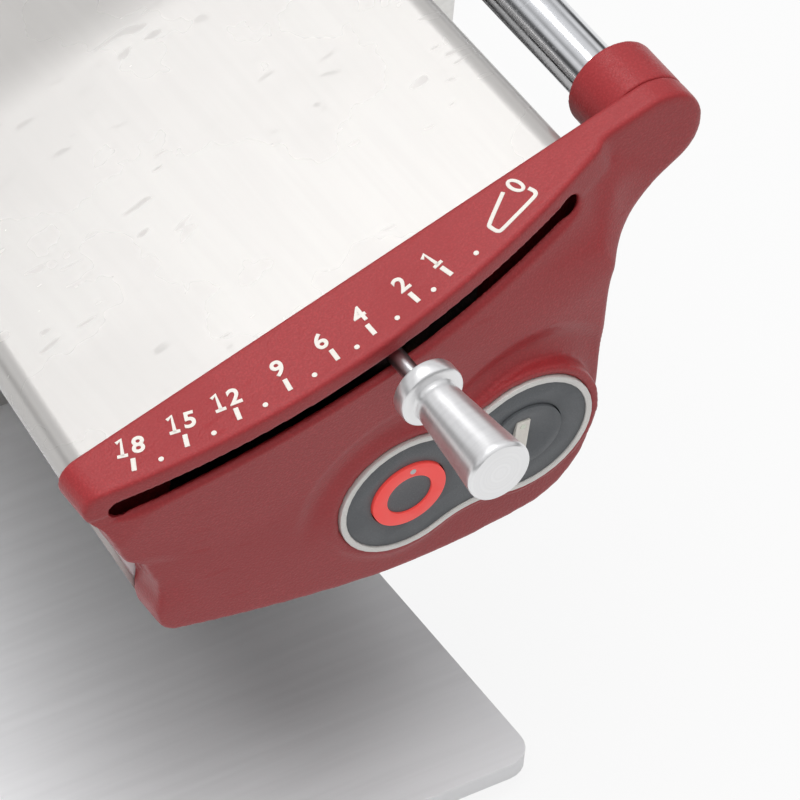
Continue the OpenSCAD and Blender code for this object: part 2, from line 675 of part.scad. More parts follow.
module switches() color("black") on_face() for (p = [[0, 0], start_at]) translate([p[0], p[1], board_z]) {
  translate([-6, -6, 0]) cube([12, 12, 3.4]);
  cylinder(d = 5, h = -cap_t - 3 - button_travel - gap - board_z, $fn = 24);
}

// Thickness lever: knob, stem, arm and hub, turning about a pin square to the cover
module at_pivot() tilt() translate([pivot_e, pivot_y, 0]) children();
stem_y0 = -bulge - knob_gap;
hub_t = 7;
hub_d = 30;
pivot_d = 10;
hub_h1 = arm_h - arm_t / 2;
hub_h0 = hub_h1 - hub_t;
shelf_t = 5;
shelf_h = hub_h0 - 3;
crank_pin = 13;
fork_t = 5;
fork_h = hub_h0 - 10.7;

module lever_knob() color("silver") tilt() translate([pivot_e, stem_y0, slot_h]) rotate([90, 0, 0])
  rotate_extrude($fn = 64) polygon([[0, 12], [stem_d / 2, 12], [stem_d / 2, 0], [knob_d / 2 - 0.8, 0],
    [knob_d / 2, 0.8], [knob_d / 2, 5], [knob_d / 2 - 0.8, 5.8], [knob_d * 0.33, 6.6], [knob_d * 0.33, 8],
    [knob_d * 0.36, 12], [knob_d / 2 - 0.2, knob_len - 1.5], [knob_d / 2 - 1.2, knob_len], [0, knob_len]]);

module lever_stem() color("silver") tilt() rod_y(stem_d, stem_y0 - 12, arm_y + 10, pivot_e, slot_h, 32);

module lever_arm() color("gray") tilt() difference() {
  union() {
    box(pivot_e - arm_w / 2, pivot_e + arm_w / 2, arm_y + 6, pivot_y, hub_h1, hub_h1 + arm_t);
    box(pivot_e - 6, pivot_e + 6, arm_y, arm_y + 14, hub_h1, slot_h + 4.5);
    translate([pivot_e, pivot_y, hub_h1]) cylinder(d = hub_d, h = arm_t, $fn = 64);
  }
  rod_y(stem_d, arm_y - cut, arm_y + 10, pivot_e, slot_h, 32);
  translate([pivot_e, pivot_y, 0]) cylinder(d = pivot_d + 2 * fit, h = 2 * slot_h, $fn = 48);
}

module lever_hub() color("gray") at_pivot() {
  difference() {
    union() {
      translate([0, 0, hub_h0]) cylinder(d = hub_d, h = hub_t, $fn = 64);
      translate([-7, -crank_r, hub_h0]) cube([14, crank_r, hub_t]);
      translate([0, -crank_r, hub_h0]) cylinder(d = 14, h = hub_t, $fn = 48);
    }
    translate([0, 0, hub_h0 - cut]) cylinder(d = pivot_d + 2 * fit, h = hub_t + 2 * cut, $fn = 48);
  }
  translate([0, -crank_r, hub_h0 - crank_pin]) cylinder(d = pin_d, h = crank_pin + 1, $fn = 48);
}

module pivot_bracket() color("silver") difference() {
  tilt() difference() {
    union() {
      box(pivot_e - 14, pivot_e + 90, pivot_y - 9, pivot_y + 14, shelf_h - shelf_t, shelf_h);
      translate([pivot_e, pivot_y, shelf_h - shelf_t])
        cylinder(d = 22, h = hub_h0 - shelf_h + shelf_t - gap, $fn = 48);
    }
    translate([pivot_e, pivot_y, 0]) cylinder(d = pivot_d, h = 2 * slot_h, $fn = 48);
  }
  box(frame_x, 4 * frame_x, 0, 2 * pivot_y, -pivot_y, pivot_y);
}

pin_top = hub_h1 + arm_t + gap + 3.5;
module pivot_pin() color("silver") at_pivot()
  translate([0, 0, shelf_h - shelf_t]) cylinder(d = pivot_d, h = pin_top - shelf_h + shelf_t, $fn = 48);

module pivot_clip() color("gray") at_pivot() translate([0, 0, hub_h1 + arm_t + gap]) difference() {
  cylinder(d = 18, h = 1.2, $fn = 48);
  translate([0, 0, -cut]) cylinder(d = pivot_d, h = 4, $fn = 48);
}

// Stop plate: sets the cut's thickness and slides on two rods across the frame
stop_y0 = cap_y + 2;
stop_top = cover_z - lip - 3.8;
stop_low = table_top + 2;
stop_gap = 4;
yoke_x = -4;
module stop_plate() color("gainsboro") difference() {
  along_x(stop_x, stop_x + stop_t) polygon(rounded([[stop_y0, -44, 12], [stop_y0 + 42, stop_low, 14],
    [blade_y, stop_low, 0], [blade_y, stop_top, 0], [stop_y0, stop_top, 10]]));
  rod_x(blade_d + 2 * stop_gap, stop_x - cut, stop_x + stop_t + cut, blade_y, blade_z, 128);
}

module guide_rods() color("silver") for (z = guide_z) rod_x(guide_d, yoke_x, stop_x, guide_y, z, 48);

fork_gap = 0.4;
module slide_yoke() color("gray") difference() {
  union() {
    box(yoke_x - 12, yoke_x, guide_y - 8, guide_y + 8, guide_z[1] - 8, guide_z[0] + 8);
    tilt() box(pivot_e - 10, pivot_e + 10, guide_y + guide_d / 2 + 0.5, pivot_y - crank_r + 7,
      fork_h, fork_h + fork_t);
  }
  tilt() box(pivot_e - pin_d / 2 - fork_gap, pivot_e + pin_d / 2 + fork_gap,
    pivot_y - crank_r - pin_d / 2 - 1, pivot_y, fork_h - cut, fork_h + fork_t + cut);
}

module guide_bushes() color("goldenrod") for (z = guide_z) difference() {
  rod_x(bush_d, frame_x - 5, frame_x + frame_t + 2, guide_y, z, 48);
  rod_x(guide_d + 2 * fit, frame_x - 6, frame_x + frame_t + 3, guide_y, z, 48);
}

// Blade and its shaft
flange_d = 58;
hub_x = boss_x + 2;
gear_w = 11;
gear_x = frame_x - 5 - gear_w;
module blade() color("silver") difference() {
  union() {
    rod_x(blade_d - 16, edge_x - blade_t, edge_x, blade_y, blade_z, 160);
    translate([edge_x - blade_t, blade_y, blade_z]) rotate([0, 90, 0])
      cylinder(d1 = blade_d - 16, d2 = blade_d, h = blade_t, $fn = 160);
  }
  rod_x(14, edge_x - blade_t - cut, edge_x + cut, blade_y, blade_z, 48);
  for (i = [0:2]) blade_screw_at(i) rod_x(5, edge_x - 10, edge_x + cut, 0, 0, 24);
}
module blade_screw_at(i) translate([0, blade_y, blade_z]) rotate([120 * i + 30, 0, 0])
  translate([0, 20, 0]) children();

module blade_hub() color("silver") difference() {
  union() {
    rod_x(flange_d, hub_x, edge_x - blade_t, blade_y, blade_z, 64);
    rod_x(14, hub_x, edge_x, blade_y, blade_z, 48);
  }
  rod_x(shaft_d, hub_x - cut, edge_x - 3, blade_y, blade_z, 48);
  for (i = [0:2]) blade_screw_at(i) rod_x(5, hub_x - cut, edge_x + cut, 0, 0, 24);
}

module blade_screws() color("silver") for (i = [0:2]) blade_screw_at(i) {
  rod_x(5, hub_x, edge_x + 0.2, 0, 0, 24);
  rod_x(9, edge_x, edge_x + 1.2, 0, 0, 24);
}

module blade_shaft() color("silver") {
  rod_x(shaft_d, gear_x - 6, edge_x - 3, blade_y, blade_z, 48);
  rod_x(shaft_d + 5, gear_x - 6, gear_x, blade_y, blade_z, 48);
}

module shaft_bearings() color("lightsteelblue") for (x = [frame_x, boss_x - bearing_w]) difference() {
  rod_x(bearing_d, x, x + bearing_w, blade_y, blade_z, 64);
  rod_x(shaft_d + 2 * fit, x - cut, x + bearing_w + cut, blade_y, blade_z, 48);
}

// Involute gear outline: backlash is taken off each tooth at the pitch circle
function inv(a) = tan(a) * 180 / PI - a;
function gear_pts(n, m, backlash, add) = let (r = n * m / 2, rb = r * cos(20), ra = r + add * m,
    rf = r - 1.25 * m, half = 90 / n - backlash / r * 90 / PI + inv(20),
    rs = [for (i = [0:4]) let (a = max(rb, rf)) a + (ra - a) * i / 4],
    fl = [for (q = rs) [q, half - inv(acos(rb / q))]],
    side = concat(rf < rb ? [[rf, half]] : [], fl))
  [for (i = [0:n - 1]) let (c = 360 / n * i) each concat(
    [for (s = side) s[0] * [cos(c - s[1]), sin(c - s[1])]],
    [for (k = [len(side) - 1:-1:0]) side[k][0] * [cos(c + side[k][1]), sin(c + side[k][1])]])];
backlash = 0.2;
addendum = 0.85;
mesh_a = atan2(motor_rise, motor_y - blade_y);

module drive_gear() color("ivory") difference() {
  translate([0, blade_y, blade_z]) along_x(gear_x, gear_x + gear_w)
    rotate(mesh_a) polygon(gear_pts(gear_n, gear_m, backlash, addendum));
  rod_x(shaft_d, gear_x - cut, gear_x + gear_w + cut, blade_y, blade_z, 48);
}

// Guard: a channel round the blade's rear and top, carried on posts
module sector(a0, a1, r) polygon(concat([[0, 0]], arc([0, 0], r, a0, a1, 12)));
guard_x = edge_x - 7.4;
guard_low = -72;
guard_high = 102;
module blade_guard() color("gainsboro") difference() {
  translate([0, blade_y, blade_z]) along_x(guard_x, edge_x + 1.2) intersection() {
    circle(r = guard_r + guard_t, $fn = 160);
    sector(guard_low, guard_high, 2 * guard_r);
  }
  rod_x(2 * guard_r, guard_x + 2, edge_x + 2, blade_y, blade_z, 160);
  rod_x(2 * (post_r - 8), guard_x - cut, edge_x + 2, blade_y, blade_z, 128);
  for (p = post_at) rod_x(stud_d, guard_x - cut, guard_x + 3, p[0], p[1], 24);
}

module guard_posts() color("silver") for (p = post_at) difference() {
  rod_x(post_d, frame_x + frame_t, guard_x, p[0], p[1], 32);
  rod_x(stud_d, frame_x + frame_t - cut, frame_x + frame_t + 10, p[0], p[1], 24);
}

deflector_h = 58;
module slice_deflector() color("gainsboro") translate([0, 0, frame_z + 6]) linear_extrude(deflector_h)
  polygon([[frame_x + frame_t, blade_y - 26], [frame_x + frame_t, blade_y - 30], [boss_x + 4, blade_y - 52],
    [boss_x + 6, blade_y - 52]]);

// Motor: a stator between two footed brackets, and a rotor with the pinion and a fan
rotor_d = 32;
air_gap = 0.6;
motor_shaft_d = 8;
pinion_bore = 6;
pinion_w = gear_w + 2;
pinion_x = gear_x - 1;
fan_x = motor_x0 - bracket_t - 7;
fan_w = 6;
tie_r = motor_d / 2 - 4;
tie_at = [for (a = [0:90:270]) [motor_y + tie_r * cos(a), motor_z + tie_r * sin(a)]];

module motor_pinion() color("goldenrod") difference() {
  translate([0, motor_y, motor_z]) along_x(pinion_x, pinion_x + pinion_w)
    rotate(mesh_a + 180 + 180 / pinion_n) polygon(gear_pts(pinion_n, gear_m, backlash, addendum));
  rod_x(pinion_bore, pinion_x - cut, pinion_x + pinion_w + cut, motor_y, motor_z, 32);
}

module rotor() color("sienna") {
  rod_x(rotor_d, motor_x0 + 4, motor_x1 - 4, motor_y, motor_z, 48);
  rod_x(motor_shaft_d, fan_x - 1, motor_x1 + bracket_t + 2, motor_y, motor_z, 32);
  rod_x(pinion_bore, motor_x1, pinion_x + pinion_w + 1, motor_y, motor_z, 32);
}

module motor_fan() color("dimgray") difference() {
  union() {
    rod_x(18, fan_x, fan_x + fan_w, motor_y, motor_z, 32);
    rod_x(42, fan_x + fan_w - 1.2, fan_x + fan_w, motor_y, motor_z, 48);
    for (a = [0:45:315]) translate([fan_x, motor_y, motor_z]) rotate([a, 0, 0])
      translate([0, 7, -0.8]) cube([fan_w, 13, 1.6]);
  }
  rod_x(motor_shaft_d, fan_x - cut, fan_x + fan_w + cut, motor_y, motor_z, 32);
}

module stator() color("dimgray") difference() {
  rod_x(motor_d, motor_x0, motor_x1, motor_y, motor_z, 64);
  rod_x(rotor_d + 2 * air_gap, motor_x0 - cut, motor_x1 + cut, motor_y, motor_z, 64);
  for (p = tie_at) rod_x(stud_d, motor_x0 - cut, motor_x1 + cut, p[0], p[1], 24);
}

module motor_brackets() color("silver") for (x = [motor_x0 - bracket_t, motor_x1]) difference() {
  union() {
    rod_x(motor_d, x, x + bracket_t, motor_y, motor_z, 64);
    box(x, x + bracket_t, motor_y - 24, motor_y + 24, -floor_drop + floor_t, motor_z - 10);
  }
  rod_x(motor_shaft_d + 2 * fit, x - cut, x + bracket_t + cut, motor_y, motor_z, 32);
  for (p = tie_at) rod_x(stud_d, x - cut, x + bracket_t + cut, p[0], p[1], 24);
  for (p = motor_foot_at) rod_z(stud_d, -floor_drop, -floor_drop + 12, p[0], p[1], 24);
}

module motor_screws() color("silver") {
  for (p = tie_at) {
    rod_x(stud_d, motor_x0 - bracket_t, motor_x1 + bracket_t, p[0], p[1], 24);
    rod_x(2 * stud_d, motor_x0 - bracket_t - 2.4, motor_x0 - bracket_t, p[0], p[1], 24);
  }
  for (p = motor_foot_at) screw_z(stud_d, -floor_drop, p[0], p[1], 12);
}

// Gland in the pillar's rear wall, where the mains lead enters
module cord_gland() color("dimgray") difference() {
  union() {
    rod_y(gland_d, pillar_y1 - wall - 2, pillar_y1 + 4, gland_x, gland_z, 48);
    rod_y(gland_d + 6, pillar_y1, pillar_y1 + 3, gland_x, gland_z, 48);
    rod_y(gland_d + 4, pillar_y1 - wall - 3, pillar_y1 - wall, gland_x, gland_z, 48);
  }
  rod_y(gland_bore, pillar_y1 - wall - 4, pillar_y1 + 5, gland_x, gland_z, 48);
}

// Carriage: foot on the rail, table with a wall across its front, and a pusher on the wall
foot_wall = 5;
table_t = 4;
wall_t = 3;
wall_top = table_top + back_h;
rail_mid = rail_x + rail_w / 2;
carriage_screw_at = [for (y = [foot_y1 - foot_len + 12, foot_y1 - 12]) [rail_mid, y]];

// The rail's T section over the plate, grown by g
function tee(g) = let (x0 = rail_x - g, x1 = rail_x + rail_w + g, s = 4, n = rail_h / 2 - g)
  [[x0 + s, -g], [x1 - s, -g], [x1 - s, n], [x1, n],
    [x1, rail_h + g], [x0, rail_h + g], [x0, n], [x0 + s, n]];

module carriage_rail() color("silver") difference() {
  translate([0, 0, plate_z]) along_y(rail_y0, rail_y1) polygon(tee(0));
  for (p = rail_screw_at) rod_z(stud_d, plate_z - cut, plate_z + 7, p[0], p[1], 24);
}

module carriage_foot() color("dimgray") difference() {
  box(rail_x - foot_wall, rail_x + rail_w + foot_wall, foot_y1 - foot_len, foot_y1,
    plate_z + 0.5, table_top - table_t);
  translate([0, 0, plate_z]) along_y(foot_y1 - foot_len - cut, foot_y1 + cut) polygon(tee(gap));
  for (p = carriage_screw_at) rod_z(stud_d, table_top - 14, table_top, p[0], p[1], 24);
}

module carriage_screws() color("silver") for (p = carriage_screw_at) {
  rod_z(stud_d, table_top - 14, table_top - 2, p[0], p[1], 24);
  rod_z(2 * stud_d, table_top - 2, table_top, p[0], p[1], 24);
}

module carriage_table() color("gainsboro") difference() {
  union() {
    translate([0, 0, table_top - table_t]) linear_extrude(table_t) polygon(rounded([
      [table_x, carriage_y, 0], [table_x + table_w, carriage_y, 0],
      [table_x + table_w, carriage_y + table_len, 12], [table_x, carriage_y + table_len, 6]]));
    along_y(carriage_y, carriage_y + wall_t) polygon(rounded([[table_x, table_top - table_t, 0],
      [table_x + table_w, table_top - table_t, 0], [table_x + table_w, wall_top, 18],
      [table_x, wall_top, 6]]));
  }
  for (p = carriage_screw_at) rod_z(stud_d, table_top - 14, table_top + cut, p[0], p[1], 24);
  for (p = carriage_screw_at) rod_z(2 * stud_d, table_top - 2, table_top + cut, p[0], p[1], 24);
}

handle_x = table_x + 40;
handle_z = table_top + 46;
handle_len = 34;
module carriage_handle() color("dimgray") translate([handle_x, carriage_y, handle_z]) rotate([90, 0, 0])
  rotate_extrude($fn = 48) polygon(concat([[0, 0], [13, 0], [12, 3], [7.5, 8], [7.5, 12]],
    arc([0, handle_len - 13], 13, -30, 90, 10)));

pusher_t = 3;
pusher_x = table_x + 4 + pusher_travel;
hook_w = 18;
hook_t = 4;
pusher_y0 = carriage_y + wall_t + gap;
pusher_l = 84;
module food_pusher() color("dimgray") difference() {
  union() {
    along_x(pusher_x, pusher_x + pusher_t) polygon(rounded([[pusher_y0, table_top + gap, 0],
      [pusher_y0 + pusher_l, table_top + gap, 6], [pusher_y0 + pusher_l, wall_top - 20, 16],
      [pusher_y0, wall_top - 4, 0]]));
    box(pusher_x, pusher_x + hook_w, carriage_y - gap - hook_t, pusher_y0 + hook_t,
      wall_top - 14, wall_top + gap + hook_t);
    rod_z(15, wall_top, wall_top + 20, pusher_x + hook_w / 2, carriage_y + wall_t / 2, 48);
  }
  box(pusher_x - cut, pusher_x + hook_w + cut, carriage_y - gap, pusher_y0, table_top, wall_top + gap);
}

module placed() translate([-x_mid, -y_mid, -table_z]) children();

placed() base_plate();
placed() foot_studs();
placed() feet();
placed() foot_nuts();
placed() pillar();
placed() base_screws();
placed() floor_pan();
placed() gear_casing();
placed() side_frame();
placed() frame_screws();
placed() top_cover();
placed() front_cap();
placed() front_carrier();
placed() rear_cap();
placed() rail_tube();
placed() tube_plugs();
placed() tube_screws();
placed() button_bezel();
placed() button_plate();
placed() stop_button();
placed() stop_ring();
placed() stop_lamp();
placed() start_button();
placed() start_bar();
placed() start_lamp();
placed() control_board();
placed() switches();
placed() lever_knob();
placed() lever_stem();
placed() lever_arm();
placed() lever_hub();
placed() pivot_bracket();
placed() pivot_pin();
placed() pivot_clip();
placed() stop_plate();
placed() guide_rods();
placed() slide_yoke();
placed() guide_bushes();
placed() blade();
placed() blade_hub();
placed() blade_screws();
placed() blade_shaft();
placed() shaft_bearings();
placed() drive_gear();
placed() blade_guard();
placed() guard_posts();
placed() slice_deflector();
placed() motor_pinion();
placed() rotor();
placed() motor_fan();
placed() stator();
placed() motor_brackets();
placed() motor_screws();
placed() cord_gland();
placed() carriage_rail();
placed() carriage_foot();
placed() carriage_screws();
placed() carriage_table();
placed() carriage_handle();
placed() food_pusher();
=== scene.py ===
"""Looks of an electric food slicer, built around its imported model.

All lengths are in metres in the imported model's frame: x to the right, y to the rear, z up.
Sizes that a maker would read off the machine are written as millimetres times MM.
"""

import json
import logging
import math
from collections.abc import Callable, Iterable, Sequence
from dataclasses import dataclass, field
from enum import Enum

import bmesh
import bpy
from mathutils import Matrix, Vector

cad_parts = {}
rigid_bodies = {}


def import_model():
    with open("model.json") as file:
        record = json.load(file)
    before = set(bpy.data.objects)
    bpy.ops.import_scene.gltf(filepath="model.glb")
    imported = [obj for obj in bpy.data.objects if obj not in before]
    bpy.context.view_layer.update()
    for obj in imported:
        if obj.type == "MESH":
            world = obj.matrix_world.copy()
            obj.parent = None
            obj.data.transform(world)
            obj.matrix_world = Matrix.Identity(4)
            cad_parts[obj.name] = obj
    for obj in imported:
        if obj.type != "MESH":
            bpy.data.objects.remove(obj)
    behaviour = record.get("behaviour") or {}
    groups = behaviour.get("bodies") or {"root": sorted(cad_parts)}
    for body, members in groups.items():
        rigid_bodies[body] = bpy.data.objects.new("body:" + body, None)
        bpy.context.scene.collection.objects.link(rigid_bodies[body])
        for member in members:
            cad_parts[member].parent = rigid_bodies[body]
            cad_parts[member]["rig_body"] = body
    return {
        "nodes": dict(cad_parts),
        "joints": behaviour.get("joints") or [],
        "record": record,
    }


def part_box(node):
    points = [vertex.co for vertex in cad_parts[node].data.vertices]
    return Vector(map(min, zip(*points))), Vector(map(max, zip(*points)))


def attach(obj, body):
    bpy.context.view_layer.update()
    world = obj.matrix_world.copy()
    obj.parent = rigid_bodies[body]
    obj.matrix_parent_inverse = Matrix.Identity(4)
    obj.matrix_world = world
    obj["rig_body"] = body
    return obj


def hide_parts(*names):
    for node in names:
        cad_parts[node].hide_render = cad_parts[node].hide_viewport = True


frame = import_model()

MM = 0.001
TRACE_OF_BLUE = 1.01
WHITE = (1.0, 1.0, 1.0, 1.0)
log = logging.getLogger("slicer")

Point = tuple[float, float]
Colour = tuple[float, float, float]
Piece = bpy.types.Object
Socket = bpy.types.NodeSocket
Sockets = bpy.types.bpy_prop_collection


# Shader tools


class Tree:
    """Adds and links the nodes of one material, world or node group."""

    def __init__(self, tree: bpy.types.NodeTree) -> None:
        """Keeps the tree that the nodes go into."""
        self.tree = tree

    @classmethod
    def bare(cls, owner: bpy.types.Material | bpy.types.World) -> "Tree":
        """Turns on the nodes of a material or world.

        Args:
            owner: the material or world.

        Returns:
            Its tree, with no node in it.
        """
        owner.use_nodes = True
        owner.node_tree.nodes.clear()
        return cls(owner.node_tree)

    def feed(self, socket: Socket, value: object) -> None:
        """Feeds one input.

        Args:
            socket: the input.
            value: an output to link to it, or the constant that it gets.
        """
        if isinstance(value, Socket):
            self.tree.links.new(value, socket)
        else:
            socket.default_value = value

    def add(self, kind: str, settings: dict[str, object] | None = None, **inputs: object) -> bpy.types.Node:
        """Adds a node and feeds its inputs by name.

        Args:
            kind: the node's type name in Blender.
            settings: properties of the node.
            **inputs: input sockets by name, underscores for spaces: a value, or a socket to link.

        Returns:
            The new node.
        """
        node = self.tree.nodes.new(kind)
        for key, value in (settings or {}).items():
            setattr(node, key, value)
        for key, value in inputs.items():
            name = key.replace("_", " ")
            self.feed(next(s for s in node.inputs if s.name == name and s.enabled), value)
        return node

    def ordered(self, kind: str, settings: dict[str, object], *values: object) -> bpy.types.Node:
        """Adds a node and feeds its inputs in their order.

        Args:
            kind: the node's type name in Blender.
            settings: properties of the node.
            *values: what the first inputs get.

        Returns:
            The new node.
        """
        node = self.add(kind, settings)
        for socket, value in zip(node.inputs, values):
            self.feed(socket, value)
        return node

    def math(self, operation: str, a: object, b: object = 0.0, clamp: bool = False) -> Socket:
        """Returns the result of one Math node on a and b."""
        return self.ordered("ShaderNodeMath", {"operation": operation, "use_clamp": clamp}, a, b).outputs[0]

    def vector(self, operation: str, *values: object) -> Sockets:
        """Returns the outputs of one Vector Math node."""
        return self.ordered("ShaderNodeVectorMath", {"operation": operation}, *values).outputs

    def blend(self, share: object, a: Socket | Colour, b: Socket | Colour) -> Socket:
        """Blends two colours.

        Args:
            share: how much of b there is, from 0 to 1.
            a: the colour at 0.
            b: the colour at 1.

        Returns:
            The blended colour.
        """
        node = self.add("ShaderNodeMix", {"data_type": "RGBA"})
        self.feed(node.inputs[0], share)
        for index, colour in ((6, a), (7, b)):
            self.feed(node.inputs[index], colour if isinstance(colour, Socket) else (*colour, 1.0))
        return node.outputs[2]

    def mixed(self, share: object, a: Socket, b: Socket) -> Socket:
        """Returns shader a where share is 0 and shader b where it is 1."""
        return self.ordered("ShaderNodeMixShader", {}, share, a, b).outputs[0]

    def ramp(self, value: Socket, low: float, high: float, to_low: float = 0.0,
             to_high: float = 1.0) -> Socket:
        """Returns value mapped from low..high to to_low..to_high, smoothly and clamped."""
        smoothly = {"interpolation_type": "SMOOTHSTEP"}
        return self.ordered("ShaderNodeMapRange", smoothly, value, low, high, to_low, to_high).outputs[0]

    def bands(self, value: Socket, stops: Sequence[Point]) -> Socket:
        """Makes a grey, with a trace of blue, that follows a value.

        Args:
            value: what it follows, from 0 to 1.
            stops: place and brightness of each stop.

        Returns:
            The grey.
        """
        node = self.ordered("ShaderNodeValToRGB", {}, value)
        for place, _ in stops[2:]:
            node.color_ramp.elements.new(place)
        for element, (place, grey) in zip(node.color_ramp.elements, sorted(stops)):
            element.position = place
            element.color = (grey, grey, grey * TRACE_OF_BLUE, 1.0)
        return node.outputs[0]

    def noise(self, vector: Socket, scale: object, detail: float = 2.0) -> Socket:
        """Returns the value of a noise texture."""
        return self.add("ShaderNodeTexNoise", Vector=vector, Scale=scale, Detail=detail).outputs[0]


class Effect(Enum):
    """Node groups that several materials share."""

    GRAIN = "moulded_grain"
    DRAWN = "drawn_lines"
    TURNED = "turned_lines"
    HANDLED = "handling_marks"


# How much finer the painted glints, lighter specks that stand in for sparkle, are than the grain.
PAINTED_GLINTS_FINER = 1.3
DRAWN_TONE = 0.16
TURNED_TONE = 0.2
HAIRS_FINER = 22.0
HAIRS_APART = 1.6
HAIR_TURN = (0.4, 0.9, 0.6)
HAIR_STRETCH = (0.06, 1.0, 1.0)


def make_group(effect: Effect, inputs: dict[str, str], outputs: Sequence[str],
               fill: Callable[[Tree, Sockets, Sockets], None]) -> bpy.types.NodeTree:
    """Builds a node group once.

    Args:
        effect: which group.
        inputs: input names with their kind, Float or Vector.
        outputs: names of the values that it puts out.
        fill: adds the nodes between the group's two ends.

    Returns:
        The group.
    """
    known = bpy.data.node_groups.get(effect.value)
    if known:
        return known
    group = bpy.data.node_groups.new(effect.value, "ShaderNodeTree")
    for name, kind in inputs.items():
        group.interface.new_socket(name, in_out="INPUT", socket_type=f"NodeSocket{kind}")
    for name in outputs:
        group.interface.new_socket(name, in_out="OUTPUT", socket_type="NodeSocketFloat")
    tree = Tree(group)
    fill(tree, tree.add("NodeGroupInput").outputs, tree.add("NodeGroupOutput").inputs)
    return group


def fill_grain(tree: Tree, given: Sockets, out: Sockets) -> None:
    """Adds fine pebbled grain, and a few specks of painted glint: lighter colour that stands in for sparkle.

    Args:
        tree: the group's nodes.
        given: the group's inputs.
        out: the group's outputs, Height and Painted Glint.
    """
    fine = tree.math("DIVIDE", 1.0, given["Size"])
    painted_glint = tree.noise(given["Vector"], tree.math("MULTIPLY", fine, PAINTED_GLINTS_FINER), detail=0.0)
    tree.feed(out["Height"], tree.noise(given["Vector"], fine, detail=3.0))
    tree.feed(out["Painted Glint"], tree.ramp(painted_glint, low=0.5, high=0.68))


def fill_lines(tree: Tree, place: Socket, fine: Socket, broad: Socket, out: Sockets) -> None:
    """Adds fine lines and a broader change of tone along them.

    Args:
        tree: the group's nodes.
        place: where the pattern is read.
        fine: scale of the lines.
        broad: the broader noise that the tone follows.
        out: the group's outputs, Height and Tone.
    """
    tree.feed(out["Height"], tree.noise(place, fine, detail=3.0))
    tree.feed(out["Tone"], tree.ramp(broad, low=0.3, high=0.7))


def fill_drawn(tree: Tree, given: Sockets, out: Sockets) -> None:
    """Adds the long fine lines of brushed sheet.

    Args:
        tree: the group's nodes.
        given: the group's inputs.
        out: the group's outputs, Height and Tone.
    """
    place = tree.vector("MULTIPLY", given["Vector"], given["Stretch"])[0]
    fine = tree.math("DIVIDE", 1.0, given["Size"])
    broad = tree.noise(place, tree.math("MULTIPLY", fine, DRAWN_TONE), detail=2.0)
    fill_lines(tree, place, fine, broad, out)


def fill_turned(tree: Tree, given: Sockets, out: Sockets) -> None:
    """Adds lathe lines, from noise over the distance from the axis and along it.

    Args:
        tree: the group's nodes.
        given: the group's inputs.
        out: the group's outputs, Height and Tone.
    """
    local = tree.vector("SUBTRACT", given["Vector"], given["Centre"])[0]
    along = tree.vector("DOT_PRODUCT", local, given["Axis"])["Value"]
    radius = tree.vector("LENGTH", tree.vector("CROSS_PRODUCT", local, given["Axis"])[0])["Value"]
    place = tree.add("ShaderNodeCombineXYZ", X=radius, Y=along).outputs[0]
    fine = tree.math("DIVIDE", 1.0, given["Size"])
    broad = tree.noise(place, tree.math("MULTIPLY", fine, TURNED_TONE), detail=1.0)
    fill_lines(tree, place, fine, broad, out)


def fill_handled(tree: Tree, given: Sockets, out: Sockets) -> None:
    """Adds signs of use: soft smudges, and a few short hairline scratches.

    Args:
        tree: the group's nodes.
        given: the group's inputs.
        out: the group's outputs, Smudge and Scratch.
    """
    fine = tree.math("DIVIDE", 1.0, given["Size"])
    smudge = tree.noise(given["Vector"], fine, detail=4.0)
    bent = tree.add("ShaderNodeMapping", {"vector_type": "POINT"}, Vector=given["Vector"],
                    Rotation=HAIR_TURN, Scale=HAIR_STRETCH)
    hair = tree.noise(bent.outputs[0], tree.math("MULTIPLY", fine, HAIRS_FINER), detail=0.0)
    rare = tree.noise(given["Vector"], tree.math("MULTIPLY", fine, HAIRS_APART), detail=1.0)
    hairline = tree.ramp(hair, low=0.72, high=0.76)
    tree.feed(out["Smudge"], tree.ramp(smudge, low=0.42, high=0.72))
    tree.feed(out["Scratch"], tree.math("MULTIPLY", hairline, tree.ramp(rare, low=0.52, high=0.66)))


def effect_group(effect: Effect) -> bpy.types.NodeTree:
    """Returns the node group of a shared effect.

    Args:
        effect: which one.

    Returns:
        The group, built the first time that it is asked for.
    """
    plain = {"Vector": "Vector", "Size": "Float"}
    recipes: dict[Effect, tuple] = {
        Effect.GRAIN: (plain, ("Height", "Painted Glint"), fill_grain),
        Effect.DRAWN: ({**plain, "Stretch": "Vector"}, ("Height", "Tone"), fill_drawn),
        Effect.TURNED: ({**plain, "Centre": "Vector", "Axis": "Vector"}, ("Height", "Tone"), fill_turned),
        Effect.HANDLED: (plain, ("Smudge", "Scratch"), fill_handled),
    }
    return make_group(effect, *recipes[effect])


# Finishes

ACCENT_LIFT = 0.01
DULLING = 0.5
SMUDGE_SHARE = 0.6
SCRATCH_ROUGHNESS = 0.12
COAT_ROUGHNESS = 0.12
LINE_STRENGTH = 0.5


